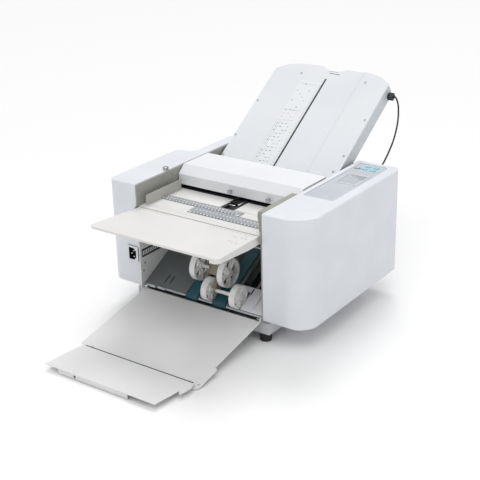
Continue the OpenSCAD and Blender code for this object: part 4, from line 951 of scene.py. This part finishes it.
class FOLDER_OT_panel_fittings(bpy.types.Operator):
    """Makes the display's frame, the panel's fine lines, the key field and the symbols on the keys"""

    bl_idname = "folder.panel_fittings"
    bl_label = "Panel fittings"

    # The panel's front left corner
    CORNER_X, CORNER_Y = 179.3, 140

    def on_panel(self, bm, low, high, bottom, top, slot, bevel=0.0):
        """A box on the panel: corners in mm from its front left corner, heights above its face."""
        block(
            bm, (self.CORNER_X + low[0], self.CORNER_Y + low[1], PANEL_TOP + bottom),
            (self.CORNER_X + high[0], self.CORNER_Y + high[1], PANEL_TOP + top), slot, mm, bevel,
        )

    def execute(self, context):
        bm = bmesh.new()
        # A raised frame round the display
        left, right, front, rear, rim = 13, 65, 109, 173, 2.4
        for low, high in (
            ((left, front), (right, front + rim)),
            ((left, rear - rim), (right, rear)),
            ((left, front + rim), (left + rim, rear - rim)),
            ((right - rim, front + rim), (right, rear - rim)),
        ):
            self.on_panel(bm, low, high, 0.02, 1.1, 0, 0.3)
        # A fine line round the blank front field and round the keys
        left, right, line = 5, 69, 0.5
        for front, rear in ((6, 104), (178, 243)):
            for low, high in (
                ((left, front), (right, front + line)),
                ((left, rear), (right, rear + line)),
                ((left, front), (left + line, rear)),
                ((right - line, front), (right, rear)),
            ):
                self.on_panel(bm, low, high, 0.02, 0.08, 1)
        finished(bm, "panel_frame", [MADE["housing"], MADE["ink_pale"]], "machine")
        # A pale field with a line in front of each of its four keys
        bm = bmesh.new()
        self.on_panel(bm, (21, 206), (61, 242), 0.02, 0.07, 0)
        for x, y in ((30, 214), (50, 214), (30, 232), (50, 232)):
            self.on_panel(bm, (x - 8, y - 6), (x + 8, y - 5.4), 0.07, 0.12, 1)
        finished(bm, "key_field", [MADE["key_field"], MADE["ink_pale"]], "machine")
        # Plain symbols: a triangle, a square, a plus, a minus and a dot
        self.flat_symbol("start_symbol", "start_key", 3, 30)
        self.flat_symbol("stop_symbol", "stop_key", 4, 45)
        self.bar_symbol("plus_symbol", "plus_key", ((4.4, 1, 0.05), (1, 4.4, 0.06)))
        self.bar_symbol("minus_symbol", "minus_key", ((4.4, 1, 0.05),))
        self.flat_symbol("reset_symbol", "reset_key", 24, 30)
        return {"FINISHED"}

    def key_top(self, key):
        """The middle of a key's face, just above it."""
        low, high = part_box(key)
        return Vector(((low.x + high.x) / 2, (low.y + high.y) / 2, high.z + 0.00002))

    def flat_symbol(self, name, key, sides, turn):
        """A regular outline 4.8 mm across and 0.05 mm thick, turned by an angle in degrees."""
        bm = bmesh.new()
        verts = bmesh.ops.create_circle(bm, cap_ends=True, radius=0.0024, segments=sides)["verts"]
        bmesh.ops.rotate(
            bm, verts=verts, cent=(0, 0, 0), matrix=Matrix.Rotation(math.radians(turn), 3, "Z")
        )
        made = bmesh.ops.extrude_face_region(bm, geom=list(bm.faces))["geom"]
        bmesh.ops.translate(bm, verts=new_verts(made), vec=(0, 0, 0.00005))
        bmesh.ops.translate(bm, verts=bm.verts, vec=self.key_top(key))
        self.finish_symbol(bm, name, key)

    def bar_symbol(self, name, key, bars):
        """A symbol of bars, each with its width, depth and thickness in mm."""
        bm = bmesh.new()
        for size in bars:
            verts = bmesh.ops.create_cube(bm, size=0.001)["verts"]
            bmesh.ops.scale(bm, verts=verts, vec=size)
            bmesh.ops.translate(bm, verts=verts, vec=self.key_top(key) + Vector((0, 0, 0.00003)))
        self.finish_symbol(bm, name, key)

    def finish_symbol(self, bm, name, key):
        """Makes the symbol's piece, which moves with its key."""
        finished(bm, name, [MADE["ink_pale"]], key + "_body")


def on_arm(x, along, above):
    """A point on the sloping arm: mm along it from its middle, and mm above its centre line."""
    slope = Vector((0, 27, 34)).normalized()
    square = Vector((0, -slope.z, slope.y))
    return mm(*(Vector((x, 48, 117.5)) + slope * along + square * above))


class FOLDER_OT_delivery_fittings(bpy.types.Operator):
    """Makes the delivery bed's front rail, its guides and exit plate, a plate of painted shade in the chute,
    and the arm's web
    """

    bl_idname = "folder.delivery_fittings"
    bl_label = "Delivery fittings"

    def execute(self, context):
        # Front rail in lengths between the wheels and belts, deeper towards the left
        rail_rear = 11.6
        bm = bmesh.new()
        for left, right, depth in (
            (-160, -134, 5.4), (-128, -106, 4.4), (-104, -48, 3), (-11, 26, 3), (64, 160, 3),
        ):
            block(bm, (left, rail_rear - depth, -5.6), (right, rail_rear + 0.2, -2.6), 0, on_belts, 0.5)
        finished(bm, "bed_front_rail", [MADE["casing"]], "machine")
        # Sloping paper guides on the open right side of the bed
        bm = bmesh.new()
        for x, start, end in ((104, 62, 150), (124, 70, 158), (146, 60, 160)):
            block(bm, (x, start, -9), (x + 5, end, -3.7), 0, on_belts, 0.8)
        block(bm, (72, 150, -12), (158, 156, -4), 0, on_belts, 0.8)
        finished(bm, "paper_guides", [MADE["steel"]], "machine")
        # Plate on the bed's right side, behind and beside the opening for the lower wheel, its near-white
        # paint painted light, with a bar along it and a black strip across its rear, painted shade standing
        # for a slot
        plate_low, plate_top = -1.95, -1.4
        bm = bmesh.new()
        block(bm, (100, 13, plate_low), (164, 75, plate_top), 0, on_belts, 0.2)
        block(bm, (63, 61, plate_low), (99.9, 75, plate_top), 0, on_belts, 0.2)
        block(bm, (128, 20, plate_top - 0.02), (131, 66, 4), 0, on_belts, 0.5)
        block(bm, (101, 56, plate_top - 0.01), (104, 73, plate_top + 0.1), 1, on_belts)
        finished(bm, "exit_plate", [MADE["exit"], MADE["black"]], "machine")
        # Web of the arm between its two cheeks, cut short over the lower left wheel
        cheek = 27.95
        bm = bmesh.new()
        block(bm, (1.05, -15, 5.2), (cheek, 42, 6.8), 0, on_arm, 0.4)
        block(bm, (22.8, -44, 4.6), (cheek, -14, 6.2), 0, on_arm, 0.4)
        finished(bm, "arm_web", [MADE["arm"]], "arm")
        # Blue-black plate behind the bed's right side: painted shade for the dark open chute
        bm = bmesh.new()
        block(bm, (72, 78, -30), (160, 156, -26), 0, on_belts, 0.5)
        finished(bm, "chute_shade", [MADE["chute"]], "machine")
        return {"FINISHED"}


class FOLDER_OT_tray_hinge_shadow(bpy.types.Operator):
    """Makes a black strip along the hinge edge of the tray's extension: painted shadow of the hinge gap"""

    bl_idname = "folder.tray_seam"
    bl_label = "Tray hinge shadow"

    def execute(self, context):
        width = context.scene.folder.seam * 1000
        # The extension's upper face lies 12.9 mm above the desk and starts 229.1 mm in front of the housings
        face, edge = 12.9, -229.4
        bm = bmesh.new()
        block(bm, (-129.4, edge - width, face + 0.01), (157.4, edge, face + 0.2))
        finished(bm, "tray_hinge_shadow", [MADE["black"]], "extension")
        return {"FINISHED"}


class FOLDER_OT_left_openings(bpy.types.Operator):
    """Makes the mains inlet's bezel and pins, and the slats of the side vent"""

    bl_idname = "folder.left_openings"
    bl_label = "Inlet and vent"

    def execute(self, context):
        inlet_x, inlet_z = -185.3, 128
        # The bezel's outline and its opening with two cut corners, from the inlet's centre
        outer = ((-16, -18.5), (16, -18.5), (16, 18.5), (-16, 18.5))
        inner = ((-10.6, -14.4), (4, -14.4), (10.6, -7.8), (10.6, 7.8), (4, 14.4), (-10.6, 14.4))
        back, thickness = -2.05, 0.0009
        bm = bmesh.new()
        loops = []
        for outline in (outer, inner):
            verts = [bm.verts.new(mm(inlet_x + x, back, inlet_z + z)) for x, z in outline]
            loops += [bm.edges.new((verts[k], verts[(k + 1) % len(verts)])) for k in range(len(verts))]
        made = bmesh.ops.triangle_fill(bm, edges=loops, use_beauty=True, normal=(0, -1, 0))["geom"]
        made = bmesh.ops.extrude_face_region(bm, geom=new_faces(made))["geom"]
        bmesh.ops.translate(bm, verts=new_verts(made), vec=(0, -thickness, 0))
        finished(bm, "inlet_bezel", [MADE["housing"]], "machine")
        # Upright slats over the vent, on the left frame's inner face
        bm = bmesh.new()
        for k in range(11):
            y = 9 + 6.1 * k
            block(bm, (-HALF_PATH - 0.2, y, 123.6), (-HALF_PATH + 0.5, y + 3.4, 134.6), 0, mm, 0.2)
        finished(bm, "vent_slats", [MADE["frame"]], "machine")
        # Three flat pins, the middle one set to the side
        half_width, half_height = 2.1, 1.1
        bm = bmesh.new()
        for x, z in ((-3, 0), (3, 7), (3, -7)):
            block(
                bm, (inlet_x + x - half_width, -1.2, inlet_z + z - half_height),
                (inlet_x + x + half_width, 14, inlet_z + z + half_height), 0, mm, 0.3,
            )
        finished(bm, "inlet_pins", [MADE["chrome"]], "machine")
        return {"FINISHED"}


# ---------------------------------------------------------------- add-on


# In the order in which they run: finishes come first, then the camera and the lead
OPERATORS = (
    FOLDER_OT_finishes,
    FOLDER_OT_stage,
    FOLDER_OT_lead,
    FOLDER_OT_scale_chart,
    FOLDER_OT_slot_shade,
    FOLDER_OT_screws,
    FOLDER_OT_table_scale,
    FOLDER_OT_feed_fittings,
    FOLDER_OT_panel_fittings,
    FOLDER_OT_delivery_fittings,
    FOLDER_OT_tray_hinge_shadow,
    FOLDER_OT_left_openings,
)


class FOLDER_PT_panel(bpy.types.Panel):
    """Lists the settings and the pieces that the add-on makes"""

    bl_label = "Paper Folding Machine"
    bl_space_type = "VIEW_3D"
    bl_region_type = "UI"
    bl_category = "Folder"

    def draw(self, context):
        for name in FolderSettings.__annotations__:
            self.layout.prop(context.scene.folder, name)
        for operator in OPERATORS:
            self.layout.operator(operator.bl_idname)


CLASSES = (FolderSettings, *OPERATORS, FOLDER_PT_panel)


def register():
    for item in CLASSES:
        bpy.utils.register_class(item)
    bpy.types.Scene.folder = bpy.props.PointerProperty(type=FolderSettings)


def unregister():
    del bpy.types.Scene.folder
    for item in reversed(CLASSES):
        bpy.utils.unregister_class(item)


def main():
    register()
    for operator in OPERATORS:
        group, name = operator.bl_idname.split(".")
        getattr(getattr(bpy.ops, group), name)()
    bpy.context.view_layer.update()


if __name__ == "__main__":
    main()
